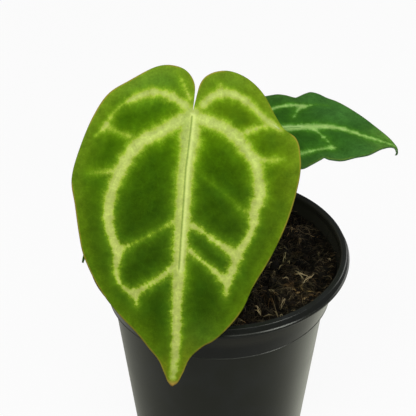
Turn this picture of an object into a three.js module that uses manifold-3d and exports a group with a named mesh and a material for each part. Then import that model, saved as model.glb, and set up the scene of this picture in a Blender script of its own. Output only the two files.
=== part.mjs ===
// Young crystal anthurium in a round nursery pot: pot, potting mix, stem and three heart-shaped leaves.
// Millimetres, +Z up. The origin is the centre of the pot's underside, and -Y is the plant's front.

import * as THREE from 'three';
import { mergeVertices } from 'three/addons/utils/BufferGeometryUtils.js';
import Module from 'manifold-3d';

// Pot: moulded black polypropylene, 12 cm across its rolled lip.
const POT_HEIGHT = 106;
const RIM_RADIUS = 60;
const LIP_WIDTH = 4.3;
const LIP_HEIGHT = 4.2;
const LIP_SKIRT = 1.1;
const POT_WALL = 1.3;
const LEDGE_DROP = 23.2;
const COLLAR_FOOT_RADIUS = 51.8;
const LEDGE_STEP = 2.1;
const BODY_TAPER = 0.12;
const BASE_RECESS = 2;
const BASE_BOSS_RADIUS = 12;
const FOOT_RING_WIDTH = 5;
const BASE_CORNER = 1.5;
const DRAIN_COUNT = 6;
const DRAIN_RADIUS = 4;
const DRAIN_PITCH_RADIUS = 24;
const POT_SIDES = 48;

// Potting mix: it fills the pot to a little under the lip, with a rough, lumpy top.
const FIT_GAP = 0.3;
const SOIL_DROP = 9;
const SOIL_RELIEF = 1.1;
const SOIL_SIDES = 48;
const SOIL_RINGS = 9;
const LUMP_COUNT = 34;
const LUMP_HEIGHT = 2.6;
const LUMP_RADIUS = 4.5;

// Stem: a short upright stub that stands in a plain hole in the mix.
const STEM_CENTRE = new THREE.Vector2(0, 3);
const STEM_RADIUS = 7.2;
const STEM_FOOT = 64;
const STEM_TOP = 104;
const SOCKET_BOTTOM = 99;

// Leaves. Outlines and veins are in each blade's own plane, in mm: the petiole joins at (0, 0), the tip
// hangs down at (0, -length), and the upper face looks at the reader. Left and right are the reader's.
// Beyond tail.start the drip tip bends down round tail.radius.
const BLADE_THICKNESS = 0.9;
const QUILT_WIDTH = 5;
const RIB_COVER = 0.45;
const RIB_SIDES = 5;
const RIB_STEPS = 2;
const JOINT_RADIUS = 1.6;

const FRONT_LEAF = {
  name: 'leaf_front',
  colour: '#4a7d0e',
  junction: [-12, -11.2, 185.2],
  tip: [-20.4, -78.1, 91.05],
  facing: [0, -0.815, 0.579],
  halfWidth: 49,
  arch: 12,
  crown: 5,
  quilt: 0.9,
  wave: { height: 1.3, length: 37, leftPeak: -30, rightPeak: -20 },
  tail: { start: -108, radius: 60 },
  rays: 72,
  rings: 9,
  left: [
    [0.2, 1.3], [0.4, 6.7], [0.2, 12.8], [-1.8, 16.8], [-5.4, 19.7], [-11.2, 20.8], [-16.9, 19.6],
    [-27.8, 12.9], [-36.4, 6.5], [-42.3, -3.9], [-46.9, -18], [-49.1, -31.8], [-47.1, -41.7],
    [-44.4, -54.1], [-41.6, -63.4], [-34.3, -76.4], [-24.9, -87.4], [-16.9, -94.7], [-11.4, -100.7],
    [-6.6, -106.1], [-4, -111.5], [-2, -116.3], [-0.2, -118.2]
  ],
  right: [
    [0.2, 1.3], [1.1, 6.8], [2.5, 13.6], [4.5, 16.7], [8.4, 19.1], [14.5, 20], [22.2, 17.5],
    [29.4, 11.6], [35.8, 1.8], [39.6, -3.1], [45.3, -7.2], [47.4, -14.5], [47.7, -23], [44.3, -40.9],
    [37.7, -58.3], [30.8, -72.3], [27.5, -81.1], [22.9, -88.3], [16.1, -95.7], [11.6, -98.6],
    [6.4, -104.3], [4, -111], [1.9, -116.3], [-0.2, -118.2]
  ],
  veins: [
    { from: 1.4, to: 0.5, path: [[0, -1], [-1, -24], [-0.9, -48.5], [-0.7, -71], [0, -93], [0, -112]] },
    { from: 1, to: 0.45, path: [[-1, -1.4], [-13.5, -8.9], [-25, -18.8], [-32.3, -40.6], [-27.1, -60.7],
      [-25.6, -73.6], [-19, -78]] },
    { from: 1, to: 0.45, path: [[1, -1.2], [14.6, -5.1], [24.9, -14.6], [31, -30], [29.3, -45.3],
      [23.5, -58.1], [19.8, -76.5]] },
    { from: 0.8, to: 0.4, path: [[-1, -0.6], [-9, 6.9], [-16, 8.5], [-29.2, 3.3], [-36.4, -7.5]] },
    { from: 0.8, to: 0.4, path: [[1.2, -0.4], [7.9, 8.2], [19.3, 9.1], [30.1, 1.3], [37.5, -3.4]] },
    { from: 0.6, to: 0.4, path: [[-0.8, -62], [-8.9, -70.6], [-19, -78]] },
    { from: 0.6, to: 0.4, path: [[-0.9, -46], [12.2, -52.2], [22.9, -58.7]] },
    { from: 0.6, to: 0.4, path: [[-0.8, -54], [7.4, -61], [18.1, -68.7]] }
  ],
  petiole: {
    path: [[0, -1, SOCKET_BOTTOM + FIT_GAP], [-0.5, 0.5, 112], [-3.5, 4.5, 135], [-8, 3.5, 158], [-11.2, -1.5, 176]],
    radii: [2.6, 2, 1.8, 1.7, 2.2],
    endRadius: 1.5
  }
};

const RIGHT_LEAF = {
  name: 'leaf_right',
  colour: '#2c6b22',
  junction: [13.95, 27.4, 153.2],
  tip: [78.9, 25, 147.6],
  facing: [0.05, -0.09, 0.995],
  halfWidth: 28,
  arch: 9.5,
  crown: 2.5,
  quilt: 0.7,
  wave: { height: 1.4, length: 16, leftPeak: -34, rightPeak: -29.5 },
  tail: { start: -65.5, radius: 8 },
  rays: 60,
  rings: 7,
  left: [
    [0.1, 1], [-0.6, 6], [-3, 9.8], [-8, 12.2], [-15, 10.6], [-22, 5.5], [-27, -2], [-28.6, -12],
    [-27.3, -23.2], [-22, -32.2], [-21.3, -36.5], [-17.7, -46.6], [-13.5, -53.6], [-5.6, -61],
    [-2.2, -65], [-0.7, -71], [0, -77]
  ],
  right: [
    [0.1, 1], [1.2, 6], [3.8, 10], [9, 12], [16, 10.4], [22, 5], [25.6, -3], [26.7, -11], [25.4, -18],
    [28.2, -25], [27, -37], [20, -44], [15, -51], [8.6, -58], [4.2, -63.6], [1.2, -67.5], [0.7, -72],
    [0, -77]
  ],
  veins: [
    { from: 1.1, to: 0.4, path: [[0, -1], [-0.6, -22.7], [1.4, -43.5], [-0.5, -57.7], [0, -72]] },
    { from: 0.8, to: 0.4, path: [[-1, -1], [-12, -6], [-19.5, -15], [-18, -24], [-13.6, -36.4], [-9.5, -43]] },
    { from: 0.8, to: 0.4, path: [[1, -1], [9.6, -4.6], [15.5, -12], [17.6, -22], [19.8, -35.5], [14, -45]] },
    { from: 0.6, to: 0.4, path: [[-0.8, -0.2], [-7, 6.2], [-14, 5], [-21.5, -3]] },
    { from: 0.6, to: 0.4, path: [[0.9, -0.2], [7.4, 6], [14, 4.4], [20.5, -3]] }
  ],
  petiole: {
    path: [[3.6, 5.8, SOCKET_BOTTOM + FIT_GAP], [4.6, 8.5, 110], [7, 15.5, 126], [11, 23.5, 140]],
    radii: [2.5, 1.8, 1.6, 1.9],
    endRadius: 1.4
  }
};

const LEFT_LEAF = {
  name: 'leaf_left',
  colour: '#3f7a1c',
  junction: [-30.6, -6, 137],
  tip: [-67, -12.5, 107.6],
  facing: [-0.5, -0.2, 0.8],
  halfWidth: 17.5,
  arch: 5,
  crown: 1.6,
  quilt: 0.5,
  wave: { height: 0.6, length: 13, leftPeak: -16, rightPeak: -20 },
  tail: { start: -37.5, radius: 18 },
  rays: 40,
  rings: 6,
  left: [
    [0.1, 0.9], [-0.7, 4.6], [-3.4, 7.4], [-8.2, 7.8], [-13.4, 4.6], [-17, -2], [-17.6, -10], [-15.4, -18.4],
    [-11.6, -26.2], [-6, -33.4], [-2.2, -38.2], [-0.9, -42], [0, -46.5]
  ],
  right: [
    [0.1, 0.9], [1.1, 4.6], [3.8, 7.2], [8.6, 7.6], [13.6, 4.2], [17, -2.4], [17.4, -10.4], [15, -18.8],
    [11, -26.6], [5.6, -33.6], [2.1, -38.4], [0.9, -42], [0, -46.5]
  ],
  veins: [
    { from: 0.9, to: 0.4, path: [[0, -1], [0, -18], [0, -42]] },
    { from: 0.6, to: 0.4, path: [[-0.8, -1], [-7.2, -3.8], [-11.2, -11], [-9.4, -21], [-6, -29]] },
    { from: 0.6, to: 0.4, path: [[0.8, -1], [7.2, -4], [11, -11.4], [9, -21.4], [5.8, -29]] }
  ],
  petiole: {
    path: [[-3.5, 5, SOCKET_BOTTOM + FIT_GAP], [-5.2, 4.8, 108], [-12.5, 1.8, 120], [-23, -3.2, 131]],
    radii: [2.4, 1.6, 1.3, 1.6],
    endRadius: 1.1
  }
};

const wasm = await Module();
wasm.setup();

// A repeatable stream of numbers from 0 to 1.
function seededRandom(seed) {
  let state = seed;
  return () => {
    state = (state * 1664525 + 1013904223) % 4294967296;
    return state / 4294967296;
  };
}

function solidFrom(geometry) {
  const bare = geometry.clone();
  bare.deleteAttribute('normal');
  bare.deleteAttribute('uv');
  const merged = mergeVertices(bare, 1e-4);
  const index = merged.index.array;
  const kept = [];
  for (let i = 0; i < index.length; i += 3) {
    const [a, b, c] = [index[i], index[i + 1], index[i + 2]];
    if (a !== b && b !== c && c !== a) kept.push(a, b, c);
  }
  const mesh = new wasm.Mesh({
    numProp: 3,
    vertProperties: Float32Array.from(merged.attributes.position.array),
    triVerts: Uint32Array.from(kept)
  });
  return new wasm.Manifold(mesh);
}

function geometryFrom(solid) {
  const mesh = solid.getMesh();
  const geometry = new THREE.BufferGeometry();
  geometry.setAttribute('position', new THREE.BufferAttribute(Float32Array.from(mesh.vertProperties), 3));
  geometry.setIndex(Array.from(mesh.triVerts));
  geometry.computeVertexNormals();
  return geometry;
}

function indexedGeometry(points, faces) {
  const geometry = new THREE.BufferGeometry();
  geometry.setAttribute('position', new THREE.Float32BufferAttribute(points.flat(), 3));
  geometry.setIndex(faces.flat());
  return geometry;
}

// A closed tube along a smooth curve through the path's points, with a radius given at each point.
function taperedTube(path, radii, sides, stepsPerSpan) {
  const curve = new THREE.CatmullRomCurve3(path.map((p) => new THREE.Vector3(...p)));
  const steps = (path.length - 1) * stepsPerSpan;
  const frames = curve.computeFrenetFrames(steps, false);
  const points = [];
  const faces = [];
  for (let i = 0; i <= steps; i++) {
    const u = i / steps;
    const centre = curve.getPointAt(u);
    const place = u * (radii.length - 1);
    const low = Math.min(Math.floor(place), radii.length - 2);
    const radius = THREE.MathUtils.lerp(radii[low], radii[low + 1], place - low);
    for (let k = 0; k < sides; k++) {
      const angle = (2 * Math.PI * k) / sides;
      const spoke = frames.normals[i].clone().multiplyScalar(Math.cos(angle) * radius);
      spoke.addScaledVector(frames.binormals[i], Math.sin(angle) * radius);
      points.push(centre.clone().add(spoke).toArray());
    }
  }
  for (let i = 0; i < steps; i++) {
    for (let k = 0; k < sides; k++) {
      const a = i * sides + k;
      const b = i * sides + ((k + 1) % sides);
      faces.push([a, b, a + sides], [b, b + sides, a + sides]);
    }
  }
  const last = steps * sides;
  for (let k = 1; k < sides - 1; k++) {
    faces.push([0, k + 1, k], [last, last + k, last + k + 1]);
  }
  return indexedGeometry(points, faces);
}

// Radius of the pot's inner wall at a height above its underside.
function potInnerRadius(z) {
  const drop = POT_HEIGHT - z;
  const lipFoot = RIM_RADIUS - LIP_WIDTH;
  const collarFoot = COLLAR_FOOT_RADIUS - POT_WALL;
  if (drop <= LIP_HEIGHT) return lipFoot;
  if (drop <= LEDGE_DROP) {
    return THREE.MathUtils.mapLinear(drop, LIP_HEIGHT, LEDGE_DROP, lipFoot, collarFoot);
  }
  return collarFoot - LEDGE_STEP - BODY_TAPER * (drop - LEDGE_DROP);
}

function potSolid() {
  const floorTop = BASE_RECESS + POT_WALL;
  const ledgeTop = POT_HEIGHT - LEDGE_DROP + POT_WALL;
  const lipFoot = POT_HEIGHT - LIP_HEIGHT;
  const lipMiddle = RIM_RADIUS - LIP_WIDTH / 2;
  const baseRadius = potInnerRadius(0) + POT_WALL;
  const profile = [];
  const add = (radius, height) => profile.push(new THREE.Vector2(radius, height));
  add(0, floorTop);
  add(potInnerRadius(floorTop), floorTop);
  add(potInnerRadius(ledgeTop - 2 * POT_WALL), ledgeTop);
  add(potInnerRadius(ledgeTop), ledgeTop);
  add(potInnerRadius(lipFoot), lipFoot);
  for (let step = 1; step < 8; step++) {
    const angle = Math.PI * (1 - step / 8);
    add(lipMiddle + (LIP_WIDTH / 2) * Math.cos(angle), lipFoot + LIP_HEIGHT * Math.sin(angle));
  }
  add(RIM_RADIUS, lipFoot);
  add(RIM_RADIUS - 0.3, lipFoot - 0.5);
  add(RIM_RADIUS - LIP_SKIRT, lipFoot - 0.5);
  add(RIM_RADIUS - LIP_SKIRT - 0.3, lipFoot + 1.6);
  add(potInnerRadius(lipFoot) + POT_WALL, lipFoot + 1.2);
  add(COLLAR_FOOT_RADIUS, POT_HEIGHT - LEDGE_DROP);
  add(COLLAR_FOOT_RADIUS - LEDGE_STEP, POT_HEIGHT - LEDGE_DROP);
  add(baseRadius + BODY_TAPER * BASE_CORNER, BASE_CORNER);
  add(baseRadius - BASE_CORNER, 0);
  add(baseRadius - FOOT_RING_WIDTH, 0);
  add(baseRadius - FOOT_RING_WIDTH - BASE_RECESS, BASE_RECESS);
  add(BASE_BOSS_RADIUS + BASE_RECESS, BASE_RECESS);
  add(BASE_BOSS_RADIUS, 0);
  add(0, 0);
  const shell = new THREE.LatheGeometry(profile.reverse(), POT_SIDES);
  shell.rotateX(Math.PI / 2);
  let solid = solidFrom(shell);
  for (let hole = 0; hole < DRAIN_COUNT; hole++) {
    const angle = (2 * Math.PI * hole) / DRAIN_COUNT;
    const drill = new THREE.CylinderGeometry(DRAIN_RADIUS, DRAIN_RADIUS, 4 * floorTop, 16);
    drill.rotateX(Math.PI / 2);
    drill.translate(DRAIN_PITCH_RADIUS * Math.cos(angle), DRAIN_PITCH_RADIUS * Math.sin(angle), 0);
    solid = solid.subtract(solidFrom(drill));
  }
  return solid;
}

// Height of the mix above its mean level: slow swells with seeded lumps on them.
function soilRelief(lumps) {
  return (x, y) => {
    const swell = Math.sin(x / 9 + 0.7) * Math.cos(y / 11 - 0.4) + 0.6 * Math.sin((x - 1.3 * y) / 6.5);
    let height = SOIL_RELIEF * swell;
    for (const lump of lumps) {
      const reach = Math.hypot(x - lump.x, y - lump.y) / lump.radius;
      height += lump.height * Math.exp(-reach * reach);
    }
    return height;
  };
}

function soilSolid() {
  const random = seededRandom(5);
  const lumps = [];
  for (let i = 0; i < LUMP_COUNT; i++) {
    const angle = 2 * Math.PI * random();
    const distance = 52 * Math.sqrt(random());
    const size = 0.5 + 0.5 * random();
    lumps.push({
      x: distance * Math.cos(angle),
      y: distance * Math.sin(angle),
      radius: LUMP_RADIUS * size,
      height: LUMP_HEIGHT * size * (random() < 0.3 ? -0.7 : 1)
    });
  }
  const relief = soilRelief(lumps);
  const floor = BASE_RECESS + POT_WALL + FIT_GAP;
  const ledge = POT_HEIGHT - LEDGE_DROP + POT_WALL + FIT_GAP;
  const level = POT_HEIGHT - SOIL_DROP;
  const brim = potInnerRadius(level) - FIT_GAP;
  const circles = [];
  for (let ring = 1; ring <= SOIL_RINGS; ring++) {
    circles.push({ radius: (brim * ring) / SOIL_RINGS, height: level, rough: ring < SOIL_RINGS ? 1 : 0.25 });
  }
  circles.push({ radius: potInnerRadius(ledge) - FIT_GAP, height: ledge, rough: 0 });
  circles.push({ radius: potInnerRadius(ledge - 2 * POT_WALL) - FIT_GAP, height: ledge, rough: 0 });
  circles.push({ radius: potInnerRadius(floor) - FIT_GAP, height: floor, rough: 0 });
  const points = [[0, 0, level + relief(0, 0)], [0, 0, floor]];
  const faces = [];
  for (const circle of circles) {
    for (let k = 0; k < SOIL_SIDES; k++) {
      const angle = (2 * Math.PI * k) / SOIL_SIDES;
      const [x, y] = [circle.radius * Math.cos(angle), circle.radius * Math.sin(angle)];
      points.push([x, y, circle.height + circle.rough * relief(x, y)]);
    }
  }
  const vertex = (ring, k) => 2 + ring * SOIL_SIDES + (k % SOIL_SIDES);
  for (let k = 0; k < SOIL_SIDES; k++) {
    faces.push([0, vertex(0, k), vertex(0, k + 1)]);
    for (let ring = 0; ring < circles.length - 1; ring++) {
      faces.push([vertex(ring, k), vertex(ring + 1, k), vertex(ring + 1, k + 1)]);
      faces.push([vertex(ring, k), vertex(ring + 1, k + 1), vertex(ring, k + 1)]);
    }
    faces.push([1, vertex(circles.length - 1, k + 1), vertex(circles.length - 1, k)]);
  }
  const hole = new THREE.CylinderGeometry(STEM_RADIUS + FIT_GAP, STEM_RADIUS + FIT_GAP, POT_HEIGHT, 24);
  hole.rotateX(Math.PI / 2);
  hole.translate(STEM_CENTRE.x, STEM_CENTRE.y, STEM_FOOT - FIT_GAP + POT_HEIGHT / 2);
  return solidFrom(indexedGeometry(points, faces)).subtract(solidFrom(hole));
}

// Shortest distance in the blade's plane from a point to the veins' paths.
function veinDistance(leaf, u, v) {
  let best = Infinity;
  for (const vein of leaf.veins) {
    for (let i = 0; i < vein.path.length - 1; i++) {
      const [[au, av], [bu, bv]] = [vein.path[i], vein.path[i + 1]];
      const [du, dv] = [bu - au, bv - av];
      const along = THREE.MathUtils.clamp(((u - au) * du + (v - av) * dv) / (du * du + dv * dv), 0, 1);
      best = Math.min(best, Math.hypot(u - au - along * du, v - av - along * dv));
    }
  }
  return best;
}

// Height of the upper face above the blade's plane. A lengthwise arch and a crown across it bend the blade,
// the fields between the veins swell a little, and the margin waves; reach is 0 at the petiole, 1 at the edge.
function bladeHeight(leaf, u, v, reach) {
  const length = -leaf.left.at(-1)[1];
  const along = -v / length;
  const across = u / leaf.halfWidth;
  const arch = (leaf.arch * (0.16 - (along - 0.4) ** 2)) / 0.36;
  const crown = leaf.crown * across * across;
  const quilt = leaf.quilt * (1 - Math.exp(-((veinDistance(leaf, u, v) / QUILT_WIDTH) ** 2)));
  const peak = u < 0 ? leaf.wave.leftPeak : leaf.wave.rightPeak;
  const fade = Math.exp(-(((v - peak) / leaf.wave.length) ** 2));
  const ripple = fade * Math.cos((2 * Math.PI * (v - peak)) / leaf.wave.length);
  const wave = leaf.wave.height * reach ** 3 * Math.min(Math.abs(across), 1) * ripple;
  return arch - crown + quilt + wave;
}

// The point at (u, v) and a height above the blade's plane, carried round the bend of the drip tip.
function bladePoint(leaf, u, v, height) {
  const { start, radius } = leaf.tail;
  const angle = Math.max(0, start - v) / radius;
  if (angle === 0) return [u, v, height];
  return [u, start - (radius + height) * Math.sin(angle), (radius + height) * Math.cos(angle) - radius];
}

function outlinePoints(leaf) {
  const half = (side) => {
    const curve = new THREE.CatmullRomCurve3(side.map(([u, v]) => new THREE.Vector3(u, v, 0)));
    return curve.getSpacedPoints(leaf.rays / 2);
  };
  const left = half(leaf.left);
  const right = half(leaf.right);
  return [...left, ...right.slice(1, -1).reverse()];
}

// The thin blade: rings of points between the petiole's end and the outline, alike on both faces.
function bladeGeometry(leaf) {
  const outline = outlinePoints(leaf);
  const count = outline.length;
  const points = [];
  const faces = [];
  for (const depth of [0, BLADE_THICKNESS]) {
    points.push([0, 0, bladeHeight(leaf, 0, 0, 0) - depth]);
    for (let ring = 1; ring <= leaf.rings; ring++) {
      const reach = ring / leaf.rings;
      for (const corner of outline) {
        const [u, v] = [corner.x * reach, corner.y * reach];
        points.push(bladePoint(leaf, u, v, bladeHeight(leaf, u, v, reach) - depth));
      }
    }
  }
  const back = 1 + leaf.rings * count;
  const vertex = (ring, k) => 1 + (ring - 1) * count + (k % count);
  const addPair = (a, b, c) => {
    faces.push([a, b, c]);
    faces.push([a + back, c + back, b + back]);
  };
  for (let k = 0; k < count; k++) {
    addPair(0, vertex(1, k), vertex(1, k + 1));
    for (let ring = 1; ring < leaf.rings; ring++) {
      addPair(vertex(ring, k), vertex(ring + 1, k), vertex(ring + 1, k + 1));
      addPair(vertex(ring, k), vertex(ring + 1, k + 1), vertex(ring, k + 1));
    }
    const [a, b] = [vertex(leaf.rings, k), vertex(leaf.rings, k + 1)];
    faces.push([a, a + back, b], [b, a + back, b + back]);
  }
  return indexedGeometry(points, faces);
}

// A raised rib under the blade, following one vein.
function ribGeometry(leaf, vein) {
  const spans = vein.path.length - 1;
  const radii = vein.path.map((_, i) => THREE.MathUtils.lerp(vein.from, vein.to, i / spans));
  const path = vein.path.map(([u, v], i) => {
    return bladePoint(leaf, u, v, bladeHeight(leaf, u, v, 0.5) - RIB_COVER - radii[i]);
  });
  return taperedTube(path, radii, RIB_SIDES, RIB_STEPS);
}

// Turns a blade's own plane into the plant's frame.
function leafMatrix(leaf) {
  const junction = new THREE.Vector3(...leaf.junction);
  const up = junction.clone().sub(new THREE.Vector3(...leaf.tip)).normalize();
  const normal = new THREE.Vector3(...leaf.facing);
  normal.addScaledVector(up, -normal.dot(up)).normalize();
  const right = new THREE.Vector3().crossVectors(up, normal);
  return new THREE.Matrix4().makeBasis(right, up, normal).setPosition(junction);
}

function petioleGeometry(leaf) {
  const matrix = leafMatrix(leaf);
  const seat = (depth) => new THREE.Vector3(0, -2, -depth).applyMatrix4(matrix).toArray();
  const path = [...leaf.petiole.path, seat(4), seat(0.6)];
  const radii = [...leaf.petiole.radii, leaf.petiole.radii.at(-1), leaf.petiole.endRadius];
  return taperedTube(path, radii, 10, 3);
}

// The blade, its ribs, the swollen joint where they meet, and the petiole, grown as one piece.
function leafSolid(leaf) {
  const joint = new THREE.SphereGeometry(JOINT_RADIUS, 10, 8);
  joint.translate(0, -JOINT_RADIUS, -JOINT_RADIUS);
  let blade = solidFrom(bladeGeometry(leaf)).add(solidFrom(joint));
  for (const vein of leaf.veins) {
    blade = blade.add(solidFrom(ribGeometry(leaf, vein)));
  }
  const placed = geometryFrom(blade).applyMatrix4(leafMatrix(leaf));
  return solidFrom(placed).add(solidFrom(petioleGeometry(leaf)));
}

// The stem, with a socket round the foot of each petiole.
function stemSolid(leaves) {
  const [x, y] = [STEM_CENTRE.x, STEM_CENTRE.y];
  const rise = STEM_TOP - STEM_FOOT;
  const path = [0, 0.25, 0.5, 0.75, 1].map((u) => [x, y, STEM_FOOT + u * rise]);
  const radii = [0.5, 0.85, 1, 0.95, 0.6].map((share) => share * STEM_RADIUS);
  let stem = solidFrom(taperedTube(path, radii, 14, 1));
  for (const leaf of leaves) {
    const [foot, next] = leaf.petiole.path;
    const beyond = next.map((value, axis) => value + (value - foot[axis]));
    const sunk = [foot[0], foot[1], SOCKET_BOTTOM];
    const wide = leaf.petiole.radii[0] + FIT_GAP + 0.1;
    stem = stem.subtract(solidFrom(taperedTube([sunk, next, beyond], [wide, wide, wide], 12, 2)));
  }
  return stem;
}

function namedMesh(name, solid, colour, roughness) {
  const material = new THREE.MeshStandardMaterial({ color: colour, roughness, metalness: 0 });
  const mesh = new THREE.Mesh(geometryFrom(solid), material);
  mesh.name = name;
  return mesh;
}

const leaves = [FRONT_LEAF, RIGHT_LEAF, LEFT_LEAF];
const plant = new THREE.Group();
plant.add(namedMesh('pot', potSolid(), '#2b2c2b', 0.45));
plant.add(namedMesh('soil', soilSolid(), '#1c140c', 0.95));
plant.add(namedMesh('stem', stemSolid(leaves), '#6f7d3c', 0.6));
for (const leaf of leaves) {
  plant.add(namedMesh(leaf.name, leafSolid(leaf), leaf.colour, 0.5));
}

export default plant;
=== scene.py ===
# Young crystal anthurium in a nursery pot: fine leaves, potting mix, pot and stem on the CAD frame.

import math
import random

import bpy
import numpy as np
from mathutils import Matrix, Vector, noise


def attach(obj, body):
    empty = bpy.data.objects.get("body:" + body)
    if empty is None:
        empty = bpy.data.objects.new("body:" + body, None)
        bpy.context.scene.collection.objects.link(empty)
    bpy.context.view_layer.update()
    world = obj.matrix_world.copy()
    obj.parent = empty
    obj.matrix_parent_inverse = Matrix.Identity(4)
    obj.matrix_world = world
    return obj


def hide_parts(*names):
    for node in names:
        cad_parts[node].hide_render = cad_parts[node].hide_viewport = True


MM = 0.001

# The camera looks down at 35.4 degrees from the plant's front, through a lens of 138 mm on a 36 mm frame.
CAMERA_PLACE = (-5.25, -590.1, 547.6)
CAMERA_PITCH = 35.4
CAMERA_LENS = 138.46

# Pot, potting mix and stem, in mm, as the solids have them.
POT_HEIGHT = 106
RIM_RADIUS = 60
LIP_WIDTH = 4.3
LIP_HEIGHT = 4.2
POT_WALL = 1.3
LEDGE_DROP = 23.2
COLLAR_FOOT_RADIUS = 51.8
LEDGE_STEP = 2.1
BODY_TAPER = 0.12
BASE_RECESS = 2
BASE_BOSS_RADIUS = 12
FOOT_RING_WIDTH = 5
DRAIN_COUNT = 6
DRAIN_RADIUS = 4
DRAIN_PITCH_RADIUS = 24
# Corners of the lip from the inside over its crest to the bead and the hollow behind it: mm inward from
# the rim, mm down from the crest, and rounding.
LIP = [(4.3, 1.2, 0.8), (3.5, 0, 0.7), (1.3, 0.5, 0.4), (0.6, 3, 0.12), (0, 3.4, 0.2), (0, 4.3, 0.2),
       (0.5, 5, 0.1), (1.2, 5.1, 0.2), (1.5, 2.9, 0.2)]
# Corners of the bead on the ledge's edge: mm out from the collar's foot, and mm up from the ledge.
LEDGE_BEAD = [(0.01, 0.4), (0.13, 0.3), (0.1, 0)]
# Reach in mm of the painted highlight above and below the ledge's edge.
LEDGE_HIGHLIGHT_REACH = 0.6
FIT_GAP = 0.3
SOIL_LEVEL = 97
SOIL_RELIEF = 1.1
LUMP_COUNT = 34
LUMP_RADIUS = 4.5
LUMP_HEIGHT = 2.6
STEM_CENTRE = (0, 3)
STEM_FOOT = 64
STEM_TOP = 104
STEM_RADIUS = 7.2

# Loose matter on the mix, in mm: width and height of its crumb, coarse to fine, and what lies on it as far
# as the reach from the pot's axis.
SOIL_REACH = 52
SOIL_CRUMB = [(6, 2.2), (2.4, 1.3), (1.1, 0.6)]
CRUMB_COUNT = 1500
CRUMB_SIZES = (0.35, 1.2)
FIBRE_COUNT = 4300
FIBRE_RADII = (0.05, 0.11)
TUFTS = [(22, -22), (36, -22), (17, -36), (37, -11), (26, -3), (32, 8), (38, -29), (12, -44)]

# How finely the turned and grown pieces are drawn.
POT_SIDES = 192
BACK_RINGS = 24
RIB_STEPS = 10
RIB_SIDES = 12
PETIOLE_STEPS = 90
PETIOLE_SIDES = 28

# Lamps, in m: name, place, size, power in watts, and whether the plant mirrors them.
LAMPS = [
    ("overhead", (-0.35, -0.65, 1.15), (0.9, 0.9), 13, False),
    ("front fill", (0.5, -1.2, 0.7), (0.8, 0.8), 4, False),
    ("right lamp", (0.56, -0.28, 0.9), (0.3, 0.3), 2, True),
    ("back right", (0.9, 0.7, 0.35), (0.7, 0.9), 4, True),
]
LAMP_AIM = (0, 0, 0.12)
FLOOR_REACH = 4

# Leaves, in mm in each blade's own plane: the petiole joins at (0, 0), the tip hangs down at (0, -length),
# and the upper face looks at the reader. A vein is a path of (u, v, width of its pale band); where the
# width falls below zero the vein only lightens the green round it. "pale", the sheen spots and "warm" are
# soft round spots of (u, v, radius, strength), and a rib is its radius at both ends and its path. The pale
# spots are partly painted light where the lamps at the right fall on the lobes, and partly paler tissue
# near the tip; the sheen spots are a painted bluish sheen of the velvet.
BLADE_THICKNESS = 0.9
EDGE_BULGE = 0.2
QUILT_WIDTH = 5
RIB_COVER = 0.45
JOINT_RADIUS = 1.7
BAND_BLEND = 0.7
# The finishes of a leaf, in the order of its materials.
UPPER, UNDER, STALK = range(3)

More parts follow.
